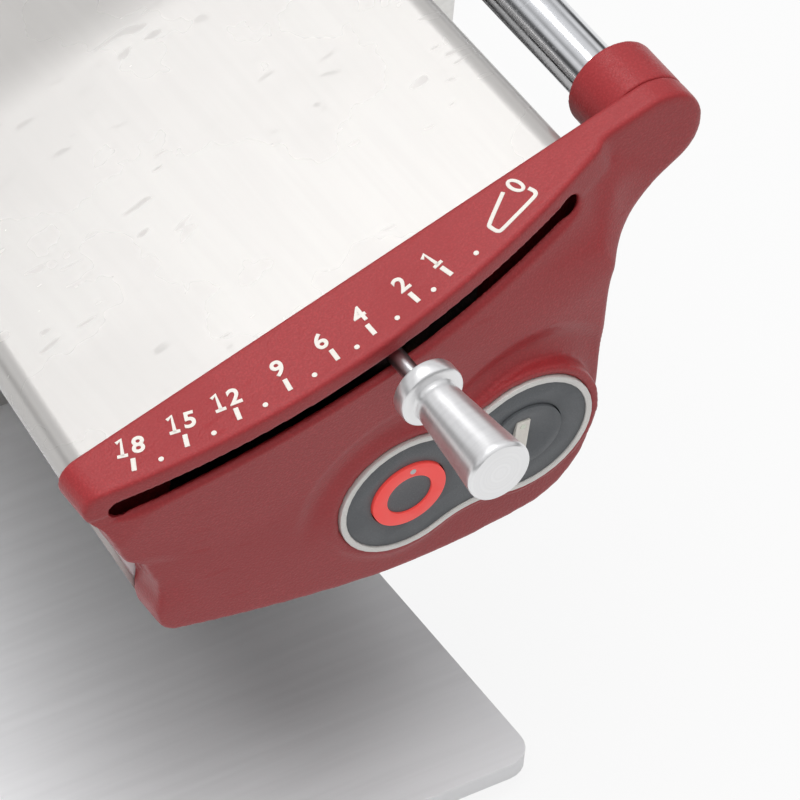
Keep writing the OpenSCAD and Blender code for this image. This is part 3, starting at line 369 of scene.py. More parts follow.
@dataclass(frozen=True)
class Finish:
    """What every finish has: its colour, its gloss, and how far handling has changed both."""

    name: str
    colour: Colour
    metallic: float = 0.0
    roughness: float = 0.4
    smudge: float = 0.08
    smudge_size: float = 30 * MM
    # tone_and_glint: a random change of tone on metal, and on moulded finishes the lift of the painted
    # glints.
    tone_and_glint: float = 0.1
    coat: float = 0.0
    # Emission that makes a part glow though it is no lamp: a painted glow.
    painted_glow: float = 0.0
    gloss: float = 0.5

    def relief(self, tree: Tree, place: Socket) -> tuple[Socket, ...]:
        """Adds the finish's own pattern.

        Args:
            tree: the material's nodes.
            place: object coordinates.

        Returns:
            The pattern's height, and the mask by which the colour changes.
        """
        raise NotImplementedError

    def bump(self) -> tuple[float, float]:
        """Returns the bump's strength and its depth in metres."""
        raise NotImplementedError

    def accent(self) -> Colour:
        """Returns the colour at full tone; on moulded finishes it is the painted glints' colour."""
        return tuple(min(1.0, c * (1 + self.tone_and_glint) + ACCENT_LIFT * self.tone_and_glint) for c in self.colour)

    def material(self) -> bpy.types.Material:
        """Builds the finish as a material.

        Returns:
            The material, built the first time that it is asked for.
        """
        known = bpy.data.materials.get(f"{self.name}_finish")
        if known:
            return known
        material = bpy.data.materials.new(f"{self.name}_finish")
        tree = Tree.bare(material)
        place = tree.add("ShaderNodeTexCoord").outputs["Object"]
        height, mask = self.relief(tree, place)
        marks = tree.add("ShaderNodeGroup", {"node_tree": effect_group(Effect.HANDLED)},
                         Vector=place, Size=self.smudge_size).outputs
        dull = tuple(c * (1 - DULLING * self.smudge) for c in self.colour)
        # The mask is a random tone on metal finishes and painted glints on moulded ones: lighter specks that
        # stand in for sparkle.
        colour = tree.blend(mask, self.colour, self.accent())
        colour = tree.blend(tree.math("MULTIPLY", marks["Smudge"], SMUDGE_SHARE), colour, dull)
        rough = tree.ramp(marks["Smudge"], 0.0, 1.0, self.roughness, self.roughness + self.smudge)
        scratched = tree.math("MULTIPLY", marks["Scratch"], SCRATCH_ROUGHNESS)
        rough = tree.math("ADD", rough, scratched, clamp=True)
        strength, depth = self.bump()
        bump = tree.add("ShaderNodeBump", Strength=strength, Distance=depth, Height=height)
        shader = tree.add("ShaderNodeBsdfPrincipled", Base_Color=colour, Metallic=self.metallic,
                          Roughness=rough, Coat_Weight=self.coat, Coat_Roughness=COAT_ROUGHNESS,
                          Specular_IOR_Level=self.gloss, Emission_Color=(*self.colour, 1.0),
                          Emission_Strength=self.painted_glow, Normal=bump.outputs[0])
        tree.add("ShaderNodeOutputMaterial", Surface=shader.outputs[0])
        return material


@dataclass(frozen=True)
class Moulded(Finish):
    """Moulded plastic, rubber, powder coat or a cast skin: a fine pebbled grain, with a few specks of painted
    glint that lighten the colour.
    """

    grain: float = 0.5 * MM
    depth: float = 0.02 * MM
    strength: float = 0.35

    def relief(self, tree: Tree, place: Socket) -> tuple[Socket, ...]:
        """Adds the grain and the painted glints; see Finish.relief."""
        node = tree.add("ShaderNodeGroup", {"node_tree": effect_group(Effect.GRAIN)}, Vector=place,
                        Size=self.grain)
        return node.outputs["Height"], node.outputs["Painted Glint"]

    def bump(self) -> tuple[float, float]:
        """Returns the bump's strength and depth."""
        return self.strength, self.depth


@dataclass(frozen=True)
class Brushed(Finish):
    """Sheet metal with brushed lines along one direction."""

    stretch: tuple[float, float, float] = (1.0, 0.03, 1.0)
    line: float = 0.35 * MM
    depth: float = 0.006 * MM

    def relief(self, tree: Tree, place: Socket) -> tuple[Socket, ...]:
        """Adds the lines; see Finish.relief."""
        node = tree.add("ShaderNodeGroup", {"node_tree": effect_group(Effect.DRAWN)}, Vector=place,
                        Stretch=self.stretch, Size=self.line)
        return node.outputs["Height"], node.outputs["Tone"]

    def bump(self) -> tuple[float, float]:
        """Returns the bump's strength and depth."""
        return LINE_STRENGTH, self.depth


@dataclass(frozen=True)
class Turned(Finish):
    """Metal off the lathe, with fine rings round its axis."""

    centre: tuple[float, float, float] = (0.0, 0.0, 0.0)
    axis: tuple[float, float, float] = (0.0, 1.0, 0.0)
    line: float = 0.25 * MM
    depth: float = 0.005 * MM

    def relief(self, tree: Tree, place: Socket) -> tuple[Socket, ...]:
        """Adds the rings; see Finish.relief."""
        node = tree.add("ShaderNodeGroup", {"node_tree": effect_group(Effect.TURNED)}, Vector=place,
                        Centre=self.centre, Axis=self.axis, Size=self.line)
        return node.outputs["Height"], node.outputs["Tone"]

    def bump(self) -> tuple[float, float]:
        """Returns the bump's strength and depth."""
        return LINE_STRENGTH, self.depth


def centre_of(node: str) -> Vector:
    """Returns the middle of a CAD node's box."""
    low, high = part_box(node)
    return (low + high) / 2


def finishes() -> dict[str, Finish]:
    """Lists the finishes, each with its colour, metal, roughness, smudges, their size, and tone, which on
    moulded finishes is how much lighter the painted glints are.

    Returns:
        The finish of each material slot in the record, and of pieces with a look of their own.
    """
    knob, blade, tube = (tuple(centre_of(n)) for n in ("lever_knob", "blade", "rail_tube"))
    return {
        "cover_steel": Brushed("cover_steel", (0.53, 0.515, 0.50), 0.38, 0.27, 0.03, 60 * MM, -0.03,
                               stretch=(1.0, 0.05, 1.0), line=0.5 * MM),
        "plate_steel": Brushed("plate_steel", (0.93, 0.93, 0.945), 0.15, 0.45, 0.06, 70 * MM, -0.04,
                               stretch=(0.05, 1.0, 1.0), line=0.5 * MM),
        "lamp_clear": Moulded("lamp_clear", (0.60, 0.61, 0.61), 0.0, 0.25, 0.05, 4 * MM, 0.05, grain=0.3 * MM,
                              depth=0.005 * MM),
        "red_cap": Moulded("red_cap", (0.335, 0.031, 0.035), 0.0, 0.38, 0.05, 45 * MM, 0.16, gloss=0.35,
                           grain=0.8 * MM, depth=0.16 * MM, strength=1.0),
        "chrome_tube": Turned("chrome_tube", (0.72, 0.73, 0.75), 1.0, 0.1, 0.08, 25 * MM, -0.06, centre=tube,
                              line=0.6 * MM, depth=0.002 * MM),
        "machined_steel": Brushed("machined_steel", (0.56, 0.56, 0.57), 1.0, 0.28, 0.1, 20 * MM, -0.12),
        "screw_steel": Brushed("screw_steel", (0.62, 0.61, 0.58), 1.0, 0.3, 0.12, 12 * MM, -0.15,
                               line=0.2 * MM),
        "blade_steel": Turned("blade_steel", (0.74, 0.74, 0.74), 1.0, 0.16, 0.1, 40 * MM, -0.1, centre=blade,
                              axis=(1.0, 0.0, 0.0), line=0.4 * MM, depth=0.004 * MM),
        "guard_steel": Brushed("guard_steel", (0.72, 0.71, 0.70), 1.0, 0.3, 0.1, 45 * MM, -0.08,
                               stretch=(1.0, 1.0, 0.03)),
        "cast_frame": Moulded("cast_frame", (0.46, 0.46, 0.47), 0.7, 0.5, 0.1, 30 * MM, 0.2, grain=1.2 * MM,
                              depth=0.12 * MM),
        "knob_aluminium": Turned("knob_aluminium", (0.86, 0.86, 0.865), 0.85, 0.3, 0.08, 14 * MM, -0.05,
                                 centre=knob, line=0.22 * MM, depth=0.004 * MM),
        "pressed_steel": Brushed("pressed_steel", (0.50, 0.50, 0.49), 1.0, 0.38, 0.12, 18 * MM, -0.15),
        "bronze": Brushed("bronze", (0.55, 0.36, 0.17), 1.0, 0.32, 0.12, 10 * MM, -0.2, line=0.2 * MM),
        "gear_plastic": Moulded("gear_plastic", (0.70, 0.68, 0.60), 0.0, 0.45, 0.1, 20 * MM, 0.05),
        "dark_plastic": Moulded("dark_plastic", (0.035, 0.036, 0.038), 0.0, 0.45, 0.12, 30 * MM, 0.6,
                                grain=0.7 * MM, depth=0.05 * MM),
        "foot_rubber": Moulded("foot_rubber", (0.022, 0.022, 0.023), 0.0, 0.72, 0.1, 12 * MM, 0.6,
                               grain=0.4 * MM, depth=0.05 * MM),
        "bezel_silver": Moulded("bezel_silver", (0.66, 0.645, 0.62), 0.35, 0.34, 0.08, 12 * MM, 0.12,
                                grain=0.3 * MM, depth=0.01 * MM),
        "panel_grey": Moulded("panel_grey", (0.105, 0.112, 0.120), 0.0, 0.5, 0.08, 18 * MM, 0.25,
                              grain=0.35 * MM, depth=0.02 * MM),
        # The signal red carries a faint painted glow from emission, though the part is no lamp.
        "signal_red": Moulded("signal_red", (0.95, 0.08, 0.07), 0.0, 0.45, 0.06, 14 * MM, 0.04,
                              grain=0.3 * MM, depth=0.01 * MM, painted_glow=0.2),
        "mark_white": Moulded("mark_white", (0.84, 0.80, 0.74), 0.0, 0.5, 0.05, 10 * MM, 0.04, grain=0.3 * MM,
                              depth=0.01 * MM),
        "lamp_lens": Moulded("lamp_lens", (0.74, 0.78, 0.66), 0.0, 0.22, 0.05, 4 * MM, 0.05, grain=0.3 * MM,
                             depth=0.005 * MM, coat=0.5),
        "board_green": Moulded("board_green", (0.03, 0.16, 0.07), 0.0, 0.35, 0.1, 20 * MM, 0.4,
                               grain=1.5 * MM),
        "motor_iron": Brushed("motor_iron", (0.30, 0.30, 0.31), 1.0, 0.42, 0.15, 14 * MM, -0.25,
                              stretch=(1.0, 0.04, 0.04)),
        "table_steel": Brushed("table_steel", (0.74, 0.73, 0.71), 1.0, 0.32, 0.1, 50 * MM, -0.08,
                               stretch=(1.0, 0.03, 1.0)),
    }


# Workshop tools

MERGE = 0.002 * MM
DOUBLES = 0.001 * MM
FLAT_ANGLE = 1.0
HALF_STEP = 0.5
LEVELS = 10


def select_none() -> None:
    """Leaves edit mode and deselects all objects."""
    if bpy.context.object and bpy.context.object.mode != "OBJECT":
        bpy.ops.object.mode_set(mode="OBJECT")
    bpy.ops.object.select_all(action="DESELECT")


def only(obj: Piece) -> None:
    """Makes obj the one selected and active object."""
    select_none()
    obj.select_set(True)
    bpy.context.view_layer.objects.active = obj


def added(name: str, data: bpy.types.ID) -> Piece:
    """Adds an object to the scene.

    Args:
        name: its name.
        data: its mesh, curve, camera or lamp.

    Returns:
        The object.
    """
    obj = bpy.data.objects.new(name, data)
    bpy.context.scene.collection.objects.link(obj)
    return obj


def apply(obj: Piece, kind: str, **settings: object) -> None:
    """Adds a modifier and applies it.

    Args:
        obj: the piece.
        kind: the modifier's type name in Blender.
        **settings: its properties.
    """
    only(obj)
    modifier = obj.modifiers.new(kind.lower(), kind)
    for key, value in settings.items():
        setattr(modifier, key, value)
    bpy.ops.object.modifier_apply(modifier=modifier.name)


def smooth(obj: Piece, degrees: float = 32.0) -> None:
    """Shades obj smooth, with sharp edges where faces meet at more than that angle."""
    only(obj)
    bpy.ops.object.shade_smooth_by_angle(angle=math.radians(degrees))


def settle(obj: Piece) -> None:
    """Puts the object's place into its mesh, so the object sits at the origin."""
    only(obj)
    bpy.ops.object.transform_apply(location=True, rotation=True, scale=True)


def recalculate(obj: Piece) -> None:
    """Merges doubles and turns all faces outwards.

    Args:
        obj: the piece.
    """
    only(obj)
    bpy.ops.object.mode_set(mode="EDIT")
    bpy.ops.mesh.select_all(action="SELECT")
    bpy.ops.mesh.remove_doubles(threshold=DOUBLES)
    bpy.ops.mesh.normals_make_consistent(inside=False)
    bpy.ops.object.mode_set(mode="OBJECT")


def copy_of(node: str, name: str) -> Piece:
    """Copies a CAD node's mesh and merges its loose triangles.

    Args:
        node: the CAD node.
        name: the new object's name.

    Returns:
        The new object.
    """
    mesh = frame["nodes"][node].data.copy()
    mesh.name = name
    mesh.materials.clear()
    obj = added(name, mesh)
    work = bmesh.new()
    work.from_mesh(mesh)
    bmesh.ops.remove_doubles(work, verts=work.verts, dist=MERGE)
    bmesh.ops.dissolve_degenerate(work, edges=work.edges, dist=MERGE)
    work.to_mesh(mesh)
    work.free()
    if mesh.has_custom_normals:
        only(obj)
        bpy.ops.mesh.customdata_custom_splitnormals_clear()
    return obj


def softened(node: str, name: str, width: float, segments: int = 2, limit: float = 28.0) -> Piece:
    """Copies a CAD node with its edges broken.

    Args:
        node: the CAD node.
        name: the new piece's name.
        width: width of the broken edges.
        segments: how many faces round an edge.
        limit: only edges sharper than this, in degrees, are broken.

    Returns:
        The new object.
    """
    obj = copy_of(node, name)
    apply(obj, "DECIMATE", decimate_type="DISSOLVE", angle_limit=math.radians(FLAT_ANGLE))
    apply(obj, "BEVEL", width=width, segments=segments, limit_method="ANGLE", angle_limit=math.radians(limit),
          use_clamp_overlap=True, harden_normals=False)
    smooth(obj)
    return obj


def remeshed(node: str, name: str, voxel: float, passes: int, slope: float) -> Piece:
    """Copies a CAD node as an even mesh with slightly round edges.

    Args:
        node: the CAD node.
        name: the new piece's name.
        voxel: size of the mesh.
        passes: rounds of smoothing, which rounds the edges.
        slope: the mesh's rows run along this slope, in radians, so that sloped edges stay straight.

    Returns:
        The new object.
    """
    obj = copy_of(node, name)
    obj.data.transform(Matrix.Rotation(slope, 4, "Y"))
    apply(obj, "REMESH", mode="VOXEL", voxel_size=voxel, adaptivity=0.0)
    obj.data.transform(Matrix.Rotation(-slope, 4, "Y"))
    apply(obj, "SMOOTH", factor=HALF_STEP, iterations=passes)
    return obj


def soften_where(obj: Piece, share: Callable[[Vector], float], passes: int) -> None:
    """Smooths an even mesh further in some places.

    Args:
        obj: the piece.
        share: how strongly, from 0 to 1, at a point of the mesh.
        passes: rounds of smoothing.
    """
    group = obj.vertex_groups.new(name="soft")
    levels: dict[int, list[int]] = {}
    for vertex in obj.data.vertices:
        levels.setdefault(round(LEVELS * share(vertex.co)), []).append(vertex.index)
    for level, members in levels.items():
        if level > 0:
            group.add(members, min(1.0, level / LEVELS), "REPLACE")
    apply(obj, "SMOOTH", factor=HALF_STEP, iterations=passes, vertex_group=group.name)
    obj.vertex_groups.clear()


def thinned(obj: Piece, faces: int) -> Piece:
    """Thins a piece's mesh and shades it smooth.

    Args:
        obj: the piece.
        faces: how many triangles it keeps at most.

    Returns:
        The piece.
    """
    apply(obj, "TRIANGULATE")
    count = len(obj.data.polygons)
    if count > faces:
        apply(obj, "DECIMATE", decimate_type="COLLAPSE", ratio=faces / count)
    only(obj)
    bpy.ops.object.shade_smooth()
    return obj


def step(value: float, low: float, high: float) -> float:
    """Makes a smooth step.

    Args:
        value: where it is read.
        low: where it leaves 0.
        high: where it reaches 1.

    Returns:
        The step's height, from 0 to 1.
    """
    t = max(0.0, min(1.0, (value - low) / (high - low)))
    return t * t * (3 - 2 * t)


def turned_piece(name: str, profile: Sequence[Point], centre: Vector, axis: Vector, steps: int) -> Piece:
    """Turns a profile round an axis, as on a lathe.

    Args:
        name: the piece's name.
        profile: radius and distance along the axis of each point.
        centre: the point on the axis from which distances count.
        axis: direction of the axis.
        steps: faces round the axis.

    Returns:
        The new object, at the origin.
    """
    select_none()
    bpy.ops.mesh.primitive_plane_add(size=MM)
    obj = bpy.context.object
    obj.name = obj.data.name = name
    bpy.ops.object.mode_set(mode="EDIT")
    bpy.ops.mesh.select_all(action="SELECT")
    bpy.ops.mesh.merge(type="CENTER")
    first = profile[0]
    bpy.ops.transform.translate(value=(first[0], 0.0, first[1]))
    for before, after in zip(profile, profile[1:]):
        move = {"value": (after[0] - before[0], 0.0, after[1] - before[1])}
        bpy.ops.mesh.extrude_vertices_move(TRANSFORM_OT_translate=move)
    bpy.ops.mesh.select_all(action="SELECT")
    bpy.ops.mesh.spin(steps=steps, angle=math.tau, center=(0.0, 0.0, 0.0), axis=(0.0, 0.0, 1.0),
                      use_auto_merge=True)
    bpy.ops.mesh.select_all(action="SELECT")
    bpy.ops.mesh.remove_doubles(threshold=DOUBLES)
    bpy.ops.mesh.normals_make_consistent(inside=False)
    bpy.ops.object.mode_set(mode="OBJECT")
    turn = Vector((0.0, 0.0, 1.0)).rotation_difference(axis).to_matrix().to_4x4()
    obj.matrix_world = Matrix.Translation(centre) @ turn
    settle(obj)
    return obj


def finish_piece(obj: Piece, finish: Finish, body: str, *nodes: str, slot: str = "") -> None:
    """Dresses a finished piece, hangs it on its body and hides the CAD nodes that it stands for.

    Args:
        obj: the piece.
        finish: its finish.
        body: the body that it moves with.
        *nodes: the CAD nodes that it replaces.
        slot: the record's material slot, where that isn't the finish's own name; it is not used.
    """
    obj.data.materials.clear()
    obj.data.materials.append(finish.material())
    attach(obj, body)
    if nodes:
        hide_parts(*nodes)
    log.info("%s: %d faces", obj.name, len(obj.data.polygons))


# The machine

RING_BEHIND = 0.3 * MM


@dataclass
class Datum:
    """The machine's own frame: its zero is the middle of the stop button's ring.

    x runs to the right, y to the rear and z up, and e runs up the cover's slope with h square to it.
    """

    zero: Vector = field(default_factory=Vector)
    slope: float = 0.0

    @classmethod
    def from_frame(cls) -> "Datum":
        """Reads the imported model.

        Returns:
            The datum, with its zero from the ring's box and its slope from the lever's axis.
        """
        axis = next(j["axis"] for j in frame["joints"] if j["name"] == "lever_swing")
        zero = centre_of("stop_ring") - Vector((0.0, RING_BEHIND, 0.0))
        return cls(zero, math.atan2(-axis[0], axis[2]))

    def level(self, x: float, y: float, z: float) -> Vector:
        """Returns the model's point for distances in millimetres from the zero."""
        return self.zero + Vector((x, y, z)) * MM

    def sloped(self, e: float, y: float, h: float) -> Vector:
        """Returns the model's point for a point in millimetres in the slope's frame."""
        c, s = math.cos(self.slope), math.sin(self.slope)
        return self.level(e * c - h * s, y, e * s + h * c)

    def read(self, point: Vector) -> tuple[float, float, float]:
        """Measures a point of the model.

        Args:
            point: the point, in metres.

        Returns:
            Its e, y and h, in millimetres.
        """
        c, s = math.cos(self.slope), math.sin(self.slope)
        x, y, z = (point - self.zero) / MM
        return x * c + z * s, y, z * c - x * s

    def on_slope(self, e: float, y: float, h: float, turn: float = 0.0) -> Matrix:
        """Returns the place of a small plane on the slope, turned in it by degrees."""
        tilt = Matrix.Rotation(-self.slope, 4, "Y")
        return Matrix.Translation(self.sloped(e, y, h)) @ tilt @ Matrix.Rotation(math.radians(turn), 4, "Z")


def body_of(node: str) -> str:
    """Returns the body that a CAD node rides on."""
    return frame["nodes"][node]["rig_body"]


def slot_of(node: str) -> str:
    """Returns the material slot of a CAD node."""
    return next(s["material_slot"] for s in frame["record"]["subparts"] if s["node"] == node)


@dataclass
class Sheet:
    """The sloped sheet cover, with rolled edges, a soft crease and a left wall that draws in."""

    datum: Datum
    height: float = 68.5
    left: float = 88.0
    right: float = 91.0
    lean: float = 26.9
    taper: float = 6.0
    crease: float = 150.0
    crease_round: float = 9.0
    fall: float = 5.0
    front: float = 23.5
    rear: float = 300.5
    roll: float = 8.0
    lip: float = 12.0
    base: float = -31.0
    sheet: float = 1.5
    front_rows: Point = (60.0, 105.0)
    crease_rows: int = 6
    rear_rows: Point = (200.0, 250.0)
    flange_width: float = 15.0
    flange_top: float = 9.0
    flange_inset: float = 0.1
    flange_behind: float = 0.15
    flange_edge: float = 0.3

    def top(self, x: float, h: float) -> float:
        """Returns the height over x of the line that lies h from the zero, square to the slope."""
        return (h + x * math.sin(self.datum.slope)) / math.cos(self.datum.slope)

    def drop(self, y: float) -> float:
        """Measures the fall of the cover, which starts softly at the crease.

        Args:
            y: distance behind the zero.

        Returns:
            How far the cover has fallen there.
        """
        past = y - self.crease
        r = self.crease_round
        if past <= -r:
            return 0.0
        slope = math.tan(math.radians(self.fall))
        return (past + r) ** 2 / (4 * r) * slope if past < r else past * slope

    def section(self, y: float) -> list[Point]:
        """Draws the sheet's outer section, from the left wall's foot to the right lip.

        Args:
            y: distance behind the zero.

        Returns:
            The section's points, as x and z.
        """
        lean, slope = math.radians(self.lean), self.datum.slope
        corner_x = -self.left * math.cos(slope) - self.height * math.sin(slope)
        corner_z = -self.left * math.sin(slope) + self.height * math.cos(slope)
        foot_x = corner_x + corner_z * math.tan(lean) + (y - self.front) * math.tan(math.radians(self.taper))
        h = self.height - self.drop(y)
        x = (foot_x - math.tan(lean) * h / math.cos(slope)) / (1 + math.tan(lean) * math.tan(slope))
        right_x = self.right * math.cos(slope) - self.height * math.sin(slope)
        end = Vector((right_x, self.top(right_x, h)))
        start = Vector((foot_x - self.base * math.tan(lean), self.base))
        points = [tuple(start)]
        points += self.rounded(start, Vector((x, self.top(x, h))), end)
        points += self.rounded(Vector((x, self.top(x, h))), end, end - Vector((0.0, self.lip)))
        points.append((end.x, end.y - self.lip))
        return points

    def rounded(self, a: Vector, b: Vector, c: Vector, steps: int = 14) -> list[Point]:
        """Rounds a corner with the rolled edge's radius.

        Args:
            a: the point before the corner.
            b: the corner.
            c: the point behind it.
            steps: how many chords the arc has.

        Returns:
            The arc's points.
        """
        u, v = (a - b).normalized(), (c - b).normalized()
        half = u.angle(v) / 2
        middle = b + (u + v).normalized() * self.roll / math.sin(half)
        one, two = b + u * self.roll / math.tan(half) - middle, b + v * self.roll / math.tan(half) - middle
        start = math.atan2(one.y, one.x)
        turn = (math.atan2(two.y, two.x) - start + math.pi) % math.tau - math.pi
        return [(middle.x + self.roll * math.cos(start + turn * i / steps),
                 middle.y + self.roll * math.sin(start + turn * i / steps)) for i in range(steps + 1)]

    def build(self, finish: Finish) -> None:
        """Lofts the sections, gives the sheet its thickness and dresses it.

        Args:
            finish: the piece's finish.
        """
        n = self.crease_rows
        folded = [self.crease + self.crease_round * k / n for k in range(-n, n + 1)]
        rows = [self.front, *self.front_rows, *folded, *self.rear_rows, self.rear]
        sections = [[self.datum.level(x, y, z) for x, z in self.section(y)] for y in rows]
        width = len(sections[0])
        mesh = bpy.data.meshes.new("sheet_cover")
        faces = [(i * width + k, (i + 1) * width + k, (i + 1) * width + k + 1, i * width + k + 1)
                 for i in range(len(rows) - 1) for k in range(width - 1)]
        mesh.from_pydata([p for s in sections for p in s], [], faces)
        obj = added("sheet_cover", mesh)
        recalculate(obj)
        self.face_out(obj)
        apply(obj, "SOLIDIFY", thickness=self.sheet * MM, offset=-1.0)
        smooth(obj, 40.0)
        finish_piece(obj, finish, "root", "top_cover")

    def flange(self, finish: Finish) -> None:
        """Folds the left wall's front edge inwards, where the red cap leaves it open. The fold is of the
        cover's own sheet but takes the paler plate finish, a painted highlight.

        Args:
            finish: the piece's finish.
        """
        foot, lean = self.section(self.front)[0][0], math.tan(math.radians(self.lean))
        edge = [(foot + (z - self.base) * -lean + self.sheet + self.flange_inset, z)
                for z in (self.base, self.flange_top)]
        select_none()
        bpy.ops.mesh.primitive_plane_add(size=1.0)
        obj = bpy.context.object
        obj.name = obj.data.name = "cover_flange"
        places = [(x + across, z) for x, z in edge for across in (0.0, self.flange_width)]
        for vertex, (x, z) in zip(obj.data.vertices, places):
            vertex.co = self.datum.level(x, self.front + self.flange_behind, z)
        apply(obj, "SOLIDIFY", thickness=self.sheet * MM, offset=0.0)
        obj.data.transform(Matrix.Translation((0.0, self.sheet / 2 * MM, 0.0)))
        apply(obj, "BEVEL", width=self.flange_edge * MM, segments=2)
        recalculate(obj)
        smooth(obj)
        # Painted highlight: the paler plate finish on a fold of the cover's sheet.
        finish_piece(obj, finish, "root", slot="cover_steel")

    @staticmethod
    def face_out(obj: Piece) -> None:
        """Turns the sheet's faces over if its top looks down."""
        top = max(obj.data.polygons, key=lambda p: p.area * abs(p.normal.z))
        if top.normal.z < 0:
            obj.data.flip_normals()


@dataclass
class Island:
    """The panel's place on the face: two circles joined by a waist, in millimetres."""

    datum: Datum
    pitch: float = 3.8
    yaw: float = 1.9
    rise: float = 11.0
    apart: float = 38.5
    radius: float = 22.6
    waist: float = 26.0

    def place(self) -> Matrix:
        """Returns the face's frame: x towards the start button, y up the face, z outwards."""
        turns = ((-self.yaw, "Z"), (90 + self.pitch, "X"), (self.rise, "Z"))
        yaw, pitch, rise = (Matrix.Rotation(math.radians(angle), 4, axis) for angle, axis in turns)
        return Matrix.Translation(self.datum.zero) @ (yaw @ pitch) @ rise

    def outside(self, x: float, y: float) -> float:
        """Measures how far a point lies outside the panel's outline.

        Args:
            x: towards the start button.
            y: up the face.

        Returns:
            The distance, less than 0 inside.
        """
        away = self.apart / 2
        high = math.sqrt((self.radius + self.waist) ** 2 - away ** 2)
        side, up = x - away, high - abs(y)
        if up > 0 and abs(side) < away * up / high:
            return self.waist - math.hypot(side, up)
        return min(math.hypot(x, y), math.hypot(x - self.apart, y)) - self.radius


@dataclass
class Housing:
    """The two red caps with the slotted strip, the island of the push buttons and the ear.

    Lengths are in millimetres, in the slope's frame. A pair of them is where a soft change begins and ends.
    """

    datum: Datum
    island: Island = field(init=False)
    to_face: Matrix = field(init=False)
    voxel: float = 0.6 * MM
    rear_coarser: float = 1.4
    passes: int = 6
    socket_passes: int = 8
    rear_passes: int = 7
    faces: int = 170000
    ear_passes: int = 40
    ear_at: Point = (82.0, 92.0)
    ear_wall: float = 17.0
    ear_fade: Point = (0.3, 1.5)
    face_passes: int = 24
    seam: float = 23.5
    before_seam: Point = (1.0, 3.5)
    slot_low: float = 55.0
    below_slot: Point = (0.0, 4.0)
    island_foot: Point = (2.2, 5.0)
    island_share: float = 0.25
    strip_e: float = -3.0
    strip_r: float = 293.0
    bulge: float = 3.7
    slot_e: float = -1.0
    slot_h: float = 59.5
    slot_half: float = 3.8
    slot_half_len: float = 81.0
    lip: float = 0.4
    lip_round: float = 2.8
    lip_past: float = 1.0
    lip_end: float = 8.0
    fade: float = 30.0
    seam_margin: float = 2.0
    drawn_from: float = 10.0
    face_e: float = 9.0
    face_r: float = 440.0
    face_step: float = 0.6
    crumb_end: float = 0.5
    crumb_depth: float = 6.0
    edge_passes: int = 30
    edge_share_most: float = 0.8
    edge_above: Point = (1.0, 3.0)
    edge_behind: Point = (2.0, 5.0)
    edge_end: Point = (84.0, 92.0)
    slot_end_round: Point = (5.0, 9.0)
    slot_end_depth: Point = (14.0, 18.0)
    scallop_in: float = 4.1
    scallop_right: float = -55.0
    scallop_z: Point = (-24.0, 7.0)
    scallop_foot: Point = (-23.0, -7.0)
    scallop_top: Point = (1.0, 6.5)
    scallop_side: float = 87.0
    scallop_lean: float = 0.5
    scallop_fade: Point = (4.0, 18.0)
    scoop: float = 1.2
    scoop_at: float = 8.5
    scoop_half: float = 6.5
    scoop_back: float = -20.0
    scoop_low: float = -12.0
    scoop_rise: Point = (-6.0, 16.0)
    last_passes: int = 3
    last_share: float = 0.5

    def __post_init__(self) -> None:
        """Works out where the panel's island lies."""
        self.island = Island(self.datum)
        self.to_face = self.island.place().inverted()

    def ear_share(self, point: Vector) -> float:
        """Returns how strongly the ear's front edges are rounded at a point."""
        e, y, _ = self.datum.read(point)
        return step(e, *self.ear_at) * step(self.ear_wall - y, *self.ear_fade)

    def face_share(self, point: Vector) -> float:
        """Measures how strongly the face's outer edges are rounded.

        Args:
            point: a point of the shell.

        Returns:
            The share, from 0 to 1.
        """
        _, y, h = self.datum.read(point)
        local = self.to_face @ point / MM
        away = step(self.island.outside(local.x, local.y), *self.island_foot)
        share = self.island_share + (1.0 - self.island_share) * away
        return step(self.slot_low - h, *self.below_slot) * step(self.seam - y, *self.before_seam) * share

    def edge_share(self, point: Vector) -> float:
        """Measures how strongly the strip's front edge and the slot's right end are rounded.

        Args:
            point: a point of the shell.

        Returns:
            The share, from 0 to 1.
        """
        e, y, h = self.datum.read(point)
        front = step(h - self.slot_h, *(self.slot_half + above for above in self.edge_above))
        front *= 1.0 - step(y - self.strip_front(e), *self.edge_behind)
        along = self.edge_share_most * front * (1.0 - step(e, *self.edge_end))
        end = math.hypot(e - self.slot_e - self.slot_half_len, h - self.slot_h)
        return max(along, (1.0 - step(end, *self.slot_end_round)) * (1.0 - step(y, *self.slot_end_depth)))

    def strip_front(self, e: float) -> float:
        """Returns how far back the strip's round front edge lies."""
        return self.strip_r - self.bulge - math.sqrt(self.strip_r ** 2 - (e - self.strip_e) ** 2)

    def face_front(self, e: float) -> float:
        """Returns how far back the face lies just below the slot, before it is drawn back."""
        middle = self.face_r - self.bulge + self.face_step
        return middle - math.sqrt(self.face_r ** 2 - (e - self.face_e) ** 2)

    def draw_back(self, shell: Piece) -> None:
        """Draws the face back under the strip's edge, with a round lip along the slot.

        Args:
            shell: the front shell's even mesh.
        """
        rear = self.seam - self.seam_margin
        for vertex in shell.data.vertices:
            e, y, h = self.datum.read(vertex.co)
            if h > self.slot_h or y > rear:
                continue
            edge = max(self.strip_front(e) + self.lip, self.face_front(e))
            below = self.slot_h - self.slot_half - h
            fade = 1.0 - step(below, 0.0, self.fade)
            fade *= 1.0 - step(e, *self.ear_at)
            deep = max(0.0, edge - y) * fade * (1.0 - step(y, self.drawn_from, rear))
            from_end = self.slot_half_len + self.lip_past - abs(e - self.slot_e)
            radius = self.lip_round * step(from_end, 0.0, self.lip_end)
            over = radius - max(0.0, below)
            if over > 0.0:
                back = radius - math.sqrt(radius ** 2 - over ** 2)
                deep = max(deep, edge + back - y)
            vertex.co.y += deep * MM

